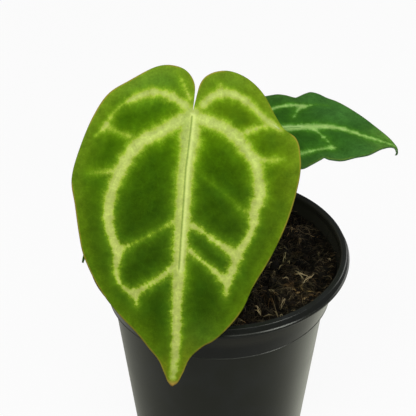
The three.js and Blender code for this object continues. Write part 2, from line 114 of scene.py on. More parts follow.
FRONT_LEAF = {
    "node": "leaf_front",
    "slot": "young_leaf",
    "junction": (-12, -11.2, 185.2),
    "tip": (-20.4, -78.1, 91.05),
    "facing": (0, -0.815, 0.579),
    "half_width": 49,
    "arch": 12,
    "crown": 5,
    "quilt": 0.9,
    "wave": (1.3, 37, -30, -20),
    "tail": (-108, 60),
    "rays": 480,
    "rings": 120,
    "left": [
        (0.2, 1.3), (0.4, 6.7), (0.2, 12.8), (-1.8, 16.8), (-5.4, 19.7), (-11.2, 20.8), (-16.9, 19.6),
        (-27.8, 12.9), (-36.4, 6.5), (-42.3, -3.9), (-46.9, -18), (-49.1, -31.8), (-47.1, -41.7),
        (-44.4, -54.1), (-41.6, -63.4), (-34.3, -76.4), (-24.9, -87.4), (-16.9, -94.7), (-11.4, -100.7),
        (-6.6, -106.1), (-4, -111.5), (-2, -116.3), (-0.2, -118.2),
    ],
    "right": [
        (0.2, 1.3), (1.1, 6.8), (2.5, 13.6), (4.5, 16.7), (8.4, 19.1), (14.5, 20), (22.2, 17.5),
        (29.4, 11.6), (35.8, 1.8), (39.6, -3.1), (45.3, -7.2), (47.4, -14.5), (47.7, -23), (44.3, -40.9),
        (37.7, -58.3), (30.8, -72.3), (27.5, -81.1), (22.9, -88.3), (16.1, -95.7), (11.6, -98.6),
        (6.4, -104.3), (4, -111), (1.9, -116.3), (-0.2, -118.2),
    ],
    "midrib": [
        (0, 0, 6), (-0.3, -10.2, 8), (-0.4, -17, 6.4), (-1, -23.9, 6.4), (-0.9, -37.3, 6.2),
        (-0.9, -48.5, 6), (-0.8, -60, 5.4), (-0.7, -71.1, 4.8), (-0.5, -81.3, 4), (0, -92.8, 3.8),
        (0.2, -104.3, 3.2), (-0.1, -113.7, 2),
    ],
    "veins": [
        [(0, -1, 4), (-5, -3.2, 5), (-13.5, -8.9, 4.8), (-20, -12.7, 5), (-25.1, -18.8, 5),
         (-28.5, -25.9, 4.6), (-30.9, -32.7, 4.2), (-32.3, -40.6, 4.2), (-31.9, -48.7, 4),
         (-29.7, -55.3, 3.4), (-27.1, -60.7, 4), (-27.5, -67.5, 2), (-25.6, -73.6, 1.4),
         (-20.9, -77.3, 1.8), (-18.7, -77.5, 2.6), (-17.7, -82.6, 0)],
        [(-27.2, -59.8, 3.2), (-24.5, -58.5, 1.5), (-21.5, -57, 0), (-14.6, -52.9, -0.6),
         (-8.2, -48.6, -0.4), (-3.9, -46, 1)],
        [(-2, -64.3, 2.4), (-8.9, -70.6, 1.8), (-15.4, -75.2, 1.8), (-19.1, -78.2, 2.6)],
        [(-2.9, 3.4, 3), (-9, 6.9, 2.6), (-16, 8.5, 2.6), (-22.6, 6.6, 2.6), (-26.5, 4.4, 2),
         (-29.2, 2.8, 0), (-33, -1, -1.4), (-35.4, -5, -0.2), (-36.4, -7.5, 1.6), (-38.4, -9.8, 0),
         (-40.6, -12, -0.8)],
        [(-36.4, -7.5, 1.2), (-33.6, -8.8, -0.5), (-30, -10.2, -1), (-25.7, -11.4, 0.5)],
        [(-1.5, 7, 0.6), (-4.2, 12, -0.5), (-5.6, 14.6, -1), (-7.4, 17.6, -2.8)],
        [(-29.8, -26.2, 2), (-32.6, -26.8, 0.8), (-36, -27.3, -0.2), (-40.9, -28, -1.2)],
        [(1, -1, 4), (7.6, -2.7, 5), (14.6, -5.1, 4.6), (20.6, -9.7, 4.8), (24.9, -14.6, 4.2),
         (28.6, -19.4, 4.2), (30.2, -25.9, 4.2), (31.2, -32.6, 5), (29.4, -38.5, 4.2), (29.3, -45.3, 3.2),
         (27, -52, 2.6), (23.5, -58.1, 4), (22.2, -63.9, 3), (20.3, -69.6, 3.4), (19.8, -76.5, 0.4)],
        [(4.3, 4.4, 3), (7.9, 8.2, 3.2), (13.5, 10.3, 3.4), (19.3, 9.1, 3), (25.2, 5.6, 2.2),
         (30.1, 1.3, 2.2), (34.7, -1.8, 2.6), (38.3, -3.8, 0.6)],
        [(20.9, -7.3, 1.5), (25.9, -4.8, 1), (31.4, -2.6, 1)],
        [(27.5, -16.5, 2.4), (30.5, -17, 1.2), (33.6, -17.3, 0.4), (40.4, -16.1, -0.8)],
        [(11, 10.5, 2), (11.2, 13.6, -0.8)],
        [(0.7, -46.4, 3.4), (6.5, -48.6, 1.4), (12.2, -52.2, 1.4), (18.2, -55.6, 2.8), (22.9, -58.7, 3.4)],
        [(1.4, -56.4, 2.4), (7.4, -61, 0.8), (13.2, -64.9, 1.6), (18.1, -68.7, 3)],
        [(3.4, -24.7, -5.2), (13, -30.6, -4.6), (20.2, -35.8, -3.8), (23.6, -39, -1.4), (27.1, -39.7, 0)],
    ],
    # Spots of painted light, of painted sheen and of warmer green.
    "pale": [(34, -8, 14, 0.7), (22, 4, 12, 0.5), (38, -26, 11, 0.2), (-42, -34, 9, 0.35),
             (-3, -14, 9, 0.35), (6, -10, 8, 0.3), (31, -14, 7, 0.5), (3, -68, 6, 0.4), (8, -88, 6, 0.2),
             (0, -112, 7, 0.9)],
    "painted_sheen": [(-14, 14, 8, 0.18), (-24, 10, 8, 0.15), (16, 15, 7, 0.12), (12, -96, 9, 0.12)],
    "warm": [(44, -22, 16, 0.2), (38, -45, 14, 0.05), (20, 4, 16, 0.2), (0, -112, 8, 1), (8, -101, 7, 0.4)],
    "grooves": [[(0, -1), (-0.3, -10.2), (-1, -23.9), (-0.9, -37.3), (-0.9, -48.5), (-0.8, -66)]],
    "ribs": [
        (1.4, 0.5, [(0, -1), (-1, -24), (-0.9, -48.5), (-0.7, -71), (0, -93), (0, -112)]),
        (1, 0.45, [(-1, -1.4), (-13.5, -8.9), (-25, -18.8), (-32.3, -40.6), (-27.1, -60.7), (-25.6, -73.6),
                   (-19, -78)]),
        (1, 0.45, [(1, -1.2), (14.6, -5.1), (24.9, -14.6), (31, -30), (29.3, -45.3), (23.5, -58.1),
                   (19.8, -76.5)]),
        (0.8, 0.4, [(-1, -0.6), (-9, 6.9), (-16, 8.5), (-29.2, 3.3), (-36.4, -7.5)]),
        (0.8, 0.4, [(1.2, -0.4), (7.9, 8.2), (19.3, 9.1), (30.1, 1.3), (37.5, -3.4)]),
        (0.6, 0.4, [(-0.8, -62), (-8.9, -70.6), (-19, -78)]),
        (0.6, 0.4, [(-0.9, -46), (12.2, -52.2), (22.9, -58.7)]),
        (0.6, 0.4, [(-0.8, -54), (7.4, -61), (18.1, -68.7)]),
    ],
    "petiole": [(0, -1, 99.3), (-0.5, 0.5, 112), (-3.5, 4.5, 135), (-8, 3.5, 158), (-11.2, -1.5, 176)],
    "petiole_radii": [2.6, 2, 1.8, 1.7, 2.2, 2.2, 1.5],
}

RIGHT_LEAF = {
    "node": "leaf_right",
    "slot": "mature_leaf",
    "junction": (13.95, 27.4, 153.2),
    "tip": (78.9, 25, 147.6),
    "facing": (0.05, -0.09, 0.995),
    "half_width": 28,
    "arch": 9.5,
    "crown": 2.5,
    "quilt": 0.7,
    "wave": (1.4, 16, -34, -29.5),
    "tail": (-65.5, 8),
    "rays": 400,
    "rings": 100,
    "left": [
        (0.1, 1), (-0.6, 6), (-3, 9.8), (-8, 12.2), (-15, 10.6), (-22, 5.5), (-27, -2), (-28.6, -12),
        (-27.3, -23.2), (-24.3, -27.7), (-22, -32.2), (-20.9, -33.6), (-21.7, -35.2), (-20.4, -39),
        (-17.7, -46.6), (-13.5, -53.6), (-5.6, -61), (-2.2, -65), (-0.7, -71), (0, -77),
    ],
    "right": [
        (0.1, 1), (1.2, 6), (3.8, 10), (9, 12), (16, 10.4), (22, 5), (25.6, -3), (26.7, -11), (25.5, -15.6),
        (25.4, -21.2), (27.9, -23.6), (28.4, -26.7), (27.1, -30), (27, -37), (20, -44), (15, -51),
        (8.6, -58), (4.2, -63.6), (1.2, -67.5), (0.7, -72), (0, -77),
    ],
    "midrib": [
        (0, 0, 4), (-1.3, -15.3, 4), (-0.6, -22.7, 3.8), (1.7, -36.5, 3.2), (1.4, -43.5, 2.6),
        (-0.1, -50.5, 2), (-0.5, -57.7, 1.5), (-0.6, -62.6, 1.2), (0, -71, 0.4),
    ],
    "veins": [
        [(1, -1, 2.4), (9.6, -4.6, 2.4), (14.8, -10.2, 2), (16.8, -15.7, 1.9), (17.6, -20.8, 2.2),
         (16.9, -24.2, 3), (17.4, -26.6, 0.4), (18.4, -30, -0.9), (19.8, -35.5, -1.6)],
        [(16.6, -23.6, 2), (14.6, -22.2, 1), (10, -20.6, 0), (5.6, -19, -0.8)],
        [(-1, -1, 2.2), (-12, -6, 2), (-19.5, -15, 1.6), (-18.5, -22.7, 1.2), (-16.4, -27, 1),
         (-14.6, -33, 0.8), (-13, -37, 1.2), (-12, -39.4, -0.4)],
        [(-1, -28.6, 2), (-2.6, -30.2, 0.9), (-6.9, -33.6, 0.2), (-10, -35.8, 0), (-12.8, -37, 1)],
        [(-0.8, -0.2, 1.6), (-7, 6.2, 1.5), (-14, 5, 1.2), (-21.5, -3, 0)],
        [(0.9, -0.2, 1.6), (7.4, 6, 1.5), (14, 4.4, 1.2), (20.5, -3, 0)],
    ],
    "pale": [(-2, -58, 10, 0.5)],
    "painted_sheen": [(14, -40, 12, 0.5), (24, -28, 8, 0.3), (-12, -50, 8, 0.15)],
    "warm": [(0, -64, 8, 0.7)],
    "grooves": [[(0, -1), (-1.3, -15.3), (-0.6, -22.7)]],
    "ribs": [
        (1.1, 0.4, [(0, -1), (-0.6, -22.7), (1.4, -43.5), (-0.5, -57.7), (0, -72)]),
        (0.8, 0.4, [(-1, -1), (-12, -6), (-19.5, -15), (-18, -24), (-13.6, -36.4), (-9.5, -43)]),
        (0.8, 0.4, [(1, -1), (9.6, -4.6), (15.5, -12), (17.6, -22), (19.8, -35.5), (14, -45)]),
        (0.6, 0.4, [(-0.8, -0.2), (-7, 6.2), (-14, 5), (-21.5, -3)]),
        (0.6, 0.4, [(0.9, -0.2), (7.4, 6), (14, 4.4), (20.5, -3)]),
    ],
    "petiole": [(3.6, 5.8, 99.3), (4.6, 8.5, 110), (7, 15.5, 126), (11, 23.5, 140)],
    "petiole_radii": [2.5, 1.8, 1.6, 1.9, 1.9, 1.4],
}

LEFT_LEAF = {
    "node": "leaf_left",
    "slot": "small_leaf",
    "junction": (-30.6, -6, 137),
    "tip": (-67, -12.5, 107.6),
    "facing": (-0.5, -0.2, 0.8),
    "half_width": 17.5,
    "arch": 5,
    "crown": 1.6,
    "quilt": 0.5,
    "wave": (0.6, 13, -16, -20),
    "tail": (-37.5, 18),
    "rays": 320,
    "rings": 80,
    "left": [
        (0.1, 0.9), (-0.7, 4.6), (-3.4, 7.4), (-8.2, 7.8), (-13.4, 4.6), (-17, -2), (-17.6, -10),
        (-15.4, -18.4), (-11.6, -26.2), (-6, -33.4), (-2.2, -38.2), (-0.9, -42), (0, -46.5),
    ],
    "right": [
        (0.1, 0.9), (1.1, 4.6), (3.8, 7.2), (8.6, 7.6), (13.6, 4.2), (17, -2.4), (17.4, -10.4),
        (15, -18.8), (11, -26.6), (5.6, -33.6), (2.1, -38.4), (0.9, -42), (0, -46.5),
    ],
    "midrib": [(0, 0, 2.4), (0, -18, 2), (0, -32, 1.2), (0, -42, 0.4)],
    "veins": [
        [(-0.8, -1, 1.6), (-7.2, -3.8, 1.5), (-11.2, -11, 1.4), (-9.4, -21, 1.2), (-6, -29, 0.2)],
        [(0.8, -1, 1.6), (7.2, -4, 1.5), (11, -11.4, 1.4), (9, -21.4, 1.2), (5.8, -29, 0.2)],
        [(-0.6, 0.4, 1), (-5, 3.8, 1), (-10, 2.2, 0.4), (-13.4, -3.5, -0.6)],
        [(0.7, 0.4, 1), (5.2, 3.8, 1), (10, 2, 0.4), (13.4, -3.8, -0.6)],
        [(-0.3, -21, 0.8), (-4, -24.5, 0.7), (-7.4, -26.4, 0.8)],
        [(0.3, -18, 0.8), (4.5, -21, 0.7), (8.6, -22.6, 0.8)],
    ],
    "pale": [],
    "painted_sheen": [(6, -14, 6, 0.2)],
    "warm": [],
    "grooves": [[(0, -1), (0, -14)]],
    "ribs": [
        (0.9, 0.4, [(0, -1), (0, -18), (0, -42)]),
        (0.6, 0.4, [(-0.8, -1), (-7.2, -3.8), (-11.2, -11), (-9.4, -21), (-6, -29)]),
        (0.6, 0.4, [(0.8, -1), (7.2, -4), (11, -11.4), (9, -21.4), (5.8, -29)]),
    ],
    "petiole": [(-3.5, 5, 99.3), (-5.2, 4.8, 108), (-12.5, 1.8, 120), (-23, -3.2, 131)],
    "petiole_radii": [2.4, 1.6, 1.3, 1.6, 1.6, 1.1],
}


# Straws that show in the photograph: places along each in mm, thickness, and tone from dark to pale.
STRAWS = [
    ([(34.3, -10.5), (35.9, -10.8), (38.2, -10.5), (39.7, -11.3), (41.6, -11.7), (43, -10.8)], 0.34, 0.9),
    ([(34.8, -7.9), (35.8, -10), (37.8, -12.6), (38.4, -13.4)], 0.3, 0.6),
    ([(42, -11.6), (40.3, -13.4), (38.9, -15), (37.9, -17.1)], 0.32, 1),
    ([(37.5, -17.8), (37.1, -19.9), (37.5, -21.2)], 0.2, 0.3),
    ([(30.9, 8.2), (30.6, 5.5), (29.9, 2.8), (30, 1.4)], 0.3, 0.8),
    ([(29.6, -0.5), (28.5, -2.1), (27.3, -3.4)], 0.34, 0.95),
    ([(27.4, -1.5), (26, -1), (24, -1.5), (22.8, -3.7)], 0.26, 0.55),
    ([(31.5, 3), (32.5, 1.2)], 0.3, 0.8),
    ([(28.8, -13.1), (30.5, -13.1), (31.4, -13.8)], 0.2, 0.9),
    ([(29.4, -28.8), (28.4, -31), (27, -33.5)], 0.4, 0.5),
    ([(15.8, -32), (17, -34), (18, -36.8)], 0.42, 0.75),
    ([(15.6, -34.5), (16.7, -35.5), (17.9, -37.3)], 0.3, 0.8),
    ([(18.5, -38.1), (20.9, -39.5), (23.7, -40.1)], 0.2, 0.5),
    ([(24.2, -35.5), (24.7, -38), (25.6, -40.2)], 0.4, 0.2),
    ([(27.6, -37.5), (26.7, -40.7)], 0.36, 0.3),
    ([(34.7, 22.3), (33.9, 19)], 0.36, 0.15),
    ([(38.4, 16), (37.5, 13.4)], 0.26, 0.15),
    ([(25.4, -5.8), (25.2, -8.2)], 0.22, 0.35),
    ([(23.8, -7.9), (24.7, -10.8)], 0.22, 0.3),
    ([(22.4, -19.3), (23, -20.9)], 0.26, 0.8),
    ([(23.3, -22.2), (24.5, -24.1)], 0.3, 0.5),
    ([(24.1, -26.6), (26.4, -26.8)], 0.2, 0.7),
    ([(32.5, -22), (35.6, -21.6)], 0.2, 0.4),
    ([(34.2, -24.9), (36.1, -23.4)], 0.2, 0.45),
    ([(39.2, -22.3), (41.1, -21.7), (42.6, -21.4)], 0.2, 0.35),
    ([(37.4, -32.1), (38, -29.5), (39.3, -27)], 0.24, 0.35),
    ([(50.7, 2.3), (51.4, 0.9)], 0.26, 0.9),
    ([(46.7, 10.4), (46.2, 4.9)], 0.2, 0.2),
    ([(28.8, 12.7), (28.3, 10.5), (30.3, 10), (31.8, 10.4)], 0.2, 0.3),
    ([(18.8, -15.8), (19.7, -18.1)], 0.26, 0.4),
    ([(8.4, -43), (11.1, -42.9)], 0.24, 0.55),
]


# Colours of the upper faces. A ramp gives, for a distance in mm past the border of a vein's pale band, the
# colour towards the tip and the colour towards the lobes; "fade" is where along the blade they part. The
# lighter lobe colours, of the ramp and of the margin, are painted light and sheen, as the blade turns up to
# the lamps above. The sheen colour is a painted bluish sheen, "crest" a painted highlight on the ridge
# beside the main veins' groove, and "groove" the painted shade down that groove and on its other flank.
RAMP_REACH = (-2, 8)
YOUNG = {
    "ramp": [(-2, "b1be62", "b1c166"), (-0.65, "abb95b", "a4b656"), (-0.15, "9ab13c", "9eb243"),
             (0.3, "709317", "91ad2d"), (0.8, "5c7b17", "7c9f23"), (1.7, "496d0f", "62880f"),
             (3.2, "3c5b0a", "4c7207"), (6, "2f4c08", "3d6104"), (8, "2e4906", "3a5e03")],
    "fade": (-52, 4),
    "margin": ("54720f", "68861a"),
    "warm": "707c16",
    "painted_sheen": "6a9a3c",
    "cool": "2c520c",
    "groove": "6a8a30",
    "crest": "dcea90",
    "edge": "9c8c34",
    "tip": "c8a050",
    "dry": -114.5,
    "gloss": 0.5,
}
MATURE = {
    "ramp": [(-2, "9fc06c", "a1c670"), (-0.8, "8bb459", "94be64"), (-0.1, "68973c", "77a84e"),
             (0.5, "40731d", "4f8529"), (1.2, "38671a", "3f721d"), (2.5, "32601b", "36661b"),
             (5, "305c1b", "2f5a19"), (8, "305b1e", "2f591c")],
    "fade": (-50, -20),
    "margin": ("3a6628", "3e6829"),
    "warm": "6a9a38",
    "painted_sheen": "4a7e38",
    "cool": "264c1c",
    "groove": "5c8c3c",
    "crest": "b4d68c",
    "edge": "5e7c30",
    "tip": "8a8a80",
    "dry": -74.5,
    "gloss": 0.45,
}
SMALL = {
    "ramp": [(-2, "9cc06c", "a4c874"), (-0.6, "8cb45c", "94bc62"), (0, "6a983e", "72a044"),
             (0.5, "45741e", "4c7c22"), (1.2, "386418", "3e6c1a"), (2.5, "305a16", "366218"),
             (5, "2c5414", "325c16"), (8, "2a5014", "305816")],
    "fade": (-35, -5),
    "margin": ("426a1c", "4a741e"),
    "warm": "5a8024",
    "painted_sheen": "4c7a30",
    "cool": "264c16",
    "groove": "5c8432",
    "crest": "b4d68c",
    "edge": "86983c",
    "tip": "6f7a3a",
    "dry": -44.5,
    "gloss": 0.45,
}


# Small tools.

def linear(code):
    """An sRGB hex colour as linear red, green, blue and alpha."""
    parts = [int(code[i:i + 2], 16) / 255 for i in (0, 2, 4)]
    return tuple(c / 12.92 if c <= 0.04045 else ((c + 0.055) / 1.055) ** 2.4 for c in parts) + (1,)


def feed(tree, node, inputs):
    """Gives each socket of a node its value, or a link from the output that feeds it. Sockets are named, or
    come in the node's own order: a MapRange has its value, the ends it runs between, the ends it gives."""
    for key, value in inputs.items() if isinstance(inputs, dict) else enumerate(inputs):
        if isinstance(value, bpy.types.NodeSocket):
            tree.links.new(value, node.inputs[key])
        else:
            node.inputs[key].default_value = value


def add(tree, kind, inputs=(), out=0, stops=(), **settings):
    """Adds a shader node with its settings and links, and gives one of its outputs; stops fill a ramp."""
    node = tree.nodes.new("ShaderNode" + kind)
    for name, value in settings.items():
        setattr(node, name, value)
    feed(tree, node, inputs)
    for _ in stops[2:]:
        node.color_ramp.elements.new(0.5)
    if stops:
        for element, (place, colour) in zip(node.color_ramp.elements, stops):
            element.position = place
            element.color = linear(colour)
    return node.outputs[out]


def coated(tree, tone, *coats):
    """A tone under coats of colour, each given as its colour and one or more shares that are multiplied."""
    for colour, share, *others in coats:
        for other in others:
            share = add(tree, "Math", [share, other], operation="MULTIPLY")
        ends = [linear(end) if isinstance(end, str) else end for end in (tone, colour)]
        tone = add(tree, "Mix", {0: share, 6: ends[0], 7: ends[1]}, 2, data_type="RGBA")
    return tone


def surface(name):
    """A new material with its node tree and its main shader."""
    material = bpy.data.materials.new(name)
    material.use_nodes = True
    tree = material.node_tree
    return material, tree, tree.nodes["Principled BSDF"]


class Maker:
    """Gathers points and faces, in mm, with a value per point for each named field, and makes one mesh."""

    def __init__(self):
        self.points = []
        self.faces = []
        self.finishes = []
        self.fields = {}

    def add(self, points, faces, finish=0, **fields):
        """Adds a part, with the number of its material and its points' values for each field."""
        start = len(self.points)
        self.points.extend(tuple(p) for p in points)
        self.faces.extend(tuple(i + start for i in face) for face in faces)
        self.finishes.extend([finish] * len(faces))
        for name, values in fields.items():
            self.fields.setdefault(name, {})[start] = values

    def make(self, name, materials, sharp=None):
        """Makes the object, smooth but for edges sharper than an angle in degrees, where one is given."""
        mesh = bpy.data.meshes.new(name)
        mesh.from_pydata([tuple(c * MM for c in p) for p in self.points], [], self.faces)
        for material in materials:
            mesh.materials.append(material)
        mesh.polygons.foreach_set("material_index", self.finishes)
        for field, parts in self.fields.items():
            width = np.asarray(next(iter(parts.values()))).ndim
            shape = (len(self.points), 3) if width == 2 else (len(self.points),)
            values = np.zeros(shape)
            for start, part in parts.items():
                values[start:start + len(part)] = part
            kind = "FLOAT_VECTOR" if width == 2 else "FLOAT"
            attribute = mesh.attributes.new(field, kind, "POINT")
            attribute.data.foreach_set("vector" if width == 2 else "value", values.ravel())
        mesh.shade_smooth()
        if sharp:
            mesh.set_sharp_from_angle(angle=math.radians(sharp))
        mesh.validate()
        piece = bpy.data.objects.new(name, mesh)
        bpy.context.scene.collection.objects.link(piece)
        return piece


def smooth_path(points, steps):
    """A centripetal Catmull-Rom curve through the points, steps to a span."""
    p = np.array(points, float)
    p = np.vstack([2 * p[0] - p[1], p, 2 * p[-1] - p[-2]])
    out = []
    for a, b, c, d in zip(p, p[1:], p[2:], p[3:]):
        gaps = [max(np.sqrt(np.linalg.norm((q - r)[:3])), 1e-4) for q, r in ((b, a), (c, b), (d, c))]
        start = ((b - a) / gaps[0] - (c - a) / (gaps[0] + gaps[1]) + (c - b) / gaps[1]) * gaps[1]
        end = ((c - b) / gaps[1] - (d - b) / (gaps[1] + gaps[2]) + (d - c) / gaps[2]) * gaps[1]
        t = np.linspace(0, 1, steps, endpoint=False)[:, None]
        bend = -3 * b + 3 * c - 2 * start - end
        out.append(b + start * t + bend * t ** 2 + (2 * b - 2 * c + start + end) * t ** 3)
    out.append(p[-2][None])
    return np.vstack(out)


def spaced(points, count):
    """count + 1 points evenly spaced along the smooth curve through the points."""
    path = smooth_path(points, 40)
    run = np.concatenate([[0], np.cumsum(np.linalg.norm(np.diff(path, axis=0), axis=1))])
    places = np.linspace(0, run[-1], count + 1)
    return np.stack([np.interp(places, run, path[:, k]) for k in range(path.shape[1])], 1)


def tube(path, radii, sides):
    """Points and faces of a closed tube along a path, with a radius at each of its points."""
    path = np.asarray(path, float)
    heading = np.gradient(path, axis=0)
    heading /= np.linalg.norm(heading, axis=1)[:, None]
    side = np.cross(heading[0], (0, 0, 1) if abs(heading[0][2]) < 0.9 else (1, 0, 0))
    angles = np.linspace(0, 2 * math.pi, sides, endpoint=False)
    points = []
    for centre, ahead, radius in zip(path, heading, radii):
        side = side - ahead * (side @ ahead)
        side /= np.linalg.norm(side)
        other = np.cross(ahead, side)
        points.extend(centre + radius * (math.cos(a) * side + math.sin(a) * other) for a in angles)
    faces = []
    for i in range(len(path) - 1):
        for k in range(sides):
            low, high = i * sides + k, i * sides + (k + 1) % sides
            faces.append((low, high, high + sides, low + sides))
    last = (len(path) - 1) * sides
    faces.append(tuple(reversed(range(sides))))
    faces.append(tuple(range(last, last + sides)))
    return points, faces


def lathe(profile, sides):
    """Points and faces of a profile of (radius, height) turned about the Z axis, from axis to axis."""
    angles = np.linspace(0, 2 * math.pi, sides, endpoint=False)
    points = [(0, 0, profile[0][1])]
    for radius, height in profile[1:-1]:
        points.extend((radius * math.cos(a), radius * math.sin(a), height) for a in angles)
    points.append((0, 0, profile[-1][1]))
    end = len(points) - 1
    faces = []
    for k in range(sides):
        after = (k + 1) % sides
        faces.append((0, 1 + after, 1 + k))
        for ring in range(len(profile) - 3):
            low, high = 1 + ring * sides, 1 + (ring + 1) * sides
            faces.append((low + k, low + after, high + after, high + k))
        faces.append((end - sides + k, end - sides + after, end))
    return points, faces


def rounded(profile, steps=5):
    """A profile of (radius, height, rounding) with each corner eased by its rounding. Points close to the
    ends of the long flats keep them flat in the smooth shading."""
    out = []
    for i, (r, z, ease) in enumerate(profile):
        if not ease:
            out.append((r, z))
            continue
        here = np.array((r, z), float)
        ends = []
        for r2, z2, _ in (profile[i - 1], profile[i + 1]):
            away = np.array((r2, z2), float) - here
            length = np.linalg.norm(away)
            ends.append(here + away / length * min(ease, 0.48 * length))
        for t in np.linspace(0, 1, steps):
            out.append(tuple((1 - t) ** 2 * ends[0] + 2 * t * (1 - t) * here + t ** 2 * ends[1]))
    held = [out[0]]
    for a, b in zip(out, out[1:]):
        length = math.dist(a, b)
        if length > 0.5:
            for share in (0.06 / length, 1 - 0.06 / length):
                held.append((a[0] + share * (b[0] - a[0]), a[1] + share * (b[1] - a[1])))
        held.append(b)
    return held


# Leaves.

def near_path(path, u, v):
    """For points (u, v): distance to a path of straight spans, and the place and third value there."""
    best = np.full(u.shape, 1e9)
    place = np.zeros(u.shape)
    value = np.zeros(u.shape)
    run = 0
    for a, b in zip(path, path[1:]):
        du, dv = b[0] - a[0], b[1] - a[1]
        length = math.hypot(du, dv)
        share = np.clip(((u - a[0]) * du + (v - a[1]) * dv) / length ** 2, 0, 1)
        gap = np.hypot(u - a[0] - share * du, v - a[1] - share * dv)
        closer = gap < best
        best = np.where(closer, gap, best)
        place = np.where(closer, run + share * length, place)
        if len(a) > 2:
            value = np.where(closer, a[2] + share * (b[2] - a[2]), value)
        run += length
    return best, place, value


def vein_fields(leaf, u, v):
    """Distance past the border of the pale bands (below zero inside them), distance to the nearest vein's
    middle, and for the comb of fine veinlets (place along the vein, distance past the border, pattern)."""
    total = np.zeros(u.shape)
    border = np.full(u.shape, 1e9)
    middle = np.full(u.shape, 1e9)
    comb = np.zeros(u.shape + (3,))
    for number, vein in enumerate([leaf["midrib"]] + leaf["veins"]):
        gap, place, width = near_path(smooth_path(vein, 4), u, v)
        edge = gap - width / 2
        total += np.exp(-edge / BAND_BLEND)
        # Each vein, and each side of the blade, has its own part of the pattern.
        pattern = number * 17 + np.sign(u) * 31
        nearer = edge < border
        border = np.where(nearer, edge, border)
        middle = np.minimum(middle, gap)
        comb = np.where(nearer[..., None], np.stack([place, edge, pattern], -1), comb)
    return -BAND_BLEND * np.log(total), middle, comb


def patches(spots, u, v):
    """Sum of soft round spots, each (u, v, radius, strength)."""
    total = np.zeros(u.shape)
    for x, y, size, share in spots:
        total += share * np.exp(-((u - x) ** 2 + (v - y) ** 2) / size ** 2)
    return total


def blade_height(leaf, u, v, reach, middle):
    """Height of the upper face above the blade's plane, as in the solids. The arch is highest at 0.4 of the
    length, and the margin's wave grows with the reach, from 0 at the petiole to 1 at the outline."""
    length = -leaf["left"][-1][1]
    along = -v / length
    across = u / leaf["half_width"]
    arch = leaf["arch"] * (0.4 ** 2 - (along - 0.4) ** 2) / 0.6 ** 2
    crown = leaf["crown"] * across ** 2
    quilt = leaf["quilt"] * (1 - np.exp(-(middle / QUILT_WIDTH) ** 2))
    height, wavelength, left_peak, right_peak = leaf["wave"]
    away = v - np.where(u < 0, left_peak, right_peak)
    ripple = np.exp(-(away / wavelength) ** 2) * np.cos(2 * math.pi * away / wavelength)
    return arch - crown + quilt + height * reach ** 3 * np.minimum(abs(across), 1) * ripple


def blade_points(leaf, u, v, height):
    """Points of the blade in the plant's frame, with the drip tip carried round its bend."""
    start, radius = leaf["tail"]
    angle = np.maximum(0, start - v) / radius
    v = np.where(angle > 0, start - (radius + height) * np.sin(angle), v)
    height = np.where(angle > 0, (radius + height) * np.cos(angle) - radius, height)
    junction = np.array(leaf["junction"], float)
    up = junction - leaf["tip"]
    up /= np.linalg.norm(up)
    normal = np.array(leaf["facing"], float)
    normal -= up * (normal @ up)
    normal /= np.linalg.norm(normal)
    right = np.cross(up, normal)
    return junction + np.stack([u, v, height], -1) @ np.stack([right, up, normal])


def blade(maker, leaf):
    """The blade: rings from the petiole's end to the outline on both faces, joined by a rounded edge."""
    half = leaf["rays"] // 2
    outline = np.vstack([spaced(leaf["left"], half), spaced(leaf["right"], half)[1:-1][::-1]])
    count = len(outline)
    outward = np.roll(outline, 1, axis=0) - np.roll(outline, -1, axis=0)
    outward = np.stack([outward[:, 1], -outward[:, 0]], 1) / np.linalg.norm(outward, axis=1)[:, None]
    # A row is one ring of points: its reach to the outline, how far it bulges past it, and its depth.
    rows = [(reach, 0, 0) for reach in np.linspace(0, 1, leaf["rings"] + 1)[1:]]
    upper = len(rows)
    rows.append((1, EDGE_BULGE, BLADE_THICKNESS / 2))
    rows.extend((reach, 0, BLADE_THICKNESS) for reach in np.linspace(1, 0, BACK_RINGS + 1)[:-1])
    rings = [outline * reach + outward * out for reach, out, _ in rows]
    u, v = np.vstack([[(0, 0)]] + rings + [[(0, 0)]]).T
    reach = np.concatenate([[0]] + [np.full(count, row[0]) for row in rows] + [[0]])
    depth = np.concatenate([[0]] + [np.full(count, row[2]) for row in rows] + [[BLADE_THICKNESS]])
    border, middle, comb = vein_fields(leaf, u, v)
    groove = np.minimum.reduce([near_path(path, u, v)[0] for path in leaf["grooves"]])
    rim = near_path(np.vstack([outline[::3], outline[:1]]), u, v)[0]
    # The pale spots and the sheen spots carry painted light and painted sheen; the warm ones a yellower
    # green.
    tints = np.stack([patches(leaf[name], u, v) for name in ("pale", "painted_sheen", "warm")], 1)
    points = blade_points(leaf, u, v, blade_height(leaf, u, v, reach, middle) - depth)
    faces = []
    for k in range(count):
        after = (k + 1) % count
        faces.append((0, 1 + k, 1 + after))
        for row in range(len(rows) - 1):
            low, high = 1 + row * count, 1 + (row + 1) * count
            faces.append((low + k, high + k, high + after, low + after))
        last = 1 + (len(rows) - 1) * count
        faces.append((last + k, len(u) - 1, last + after))
    per_ray = [UPPER] * (upper + 1) + [UNDER] * (len(rows) - upper)
    start = len(maker.faces)
    flat = np.stack([u, v, np.zeros(u.shape)], 1)
    maker.add(points, faces, border=border, comb=comb, groove=groove, rim=rim, tints=tints, leaf_mm=flat)
    maker.finishes[start:] = per_ray * count


def ribs(maker, leaf):
    """The raised ribs under the blade, along its main veins."""
    for thick, thin, path in leaf["ribs"]:
        line = spaced(path, RIB_STEPS * (len(path) - 1))
        u, v = line.T
        radii = np.linspace(thick, thin, len(line))
        middle = vein_fields(leaf, u, v)[1]
        height = blade_height(leaf, u, v, 0.5, middle) - RIB_COVER - radii
        points, faces = tube(blade_points(leaf, u, v, height), radii, RIB_SIDES)
        maker.add(points, faces, UNDER, border=np.full(len(points), -1.0))


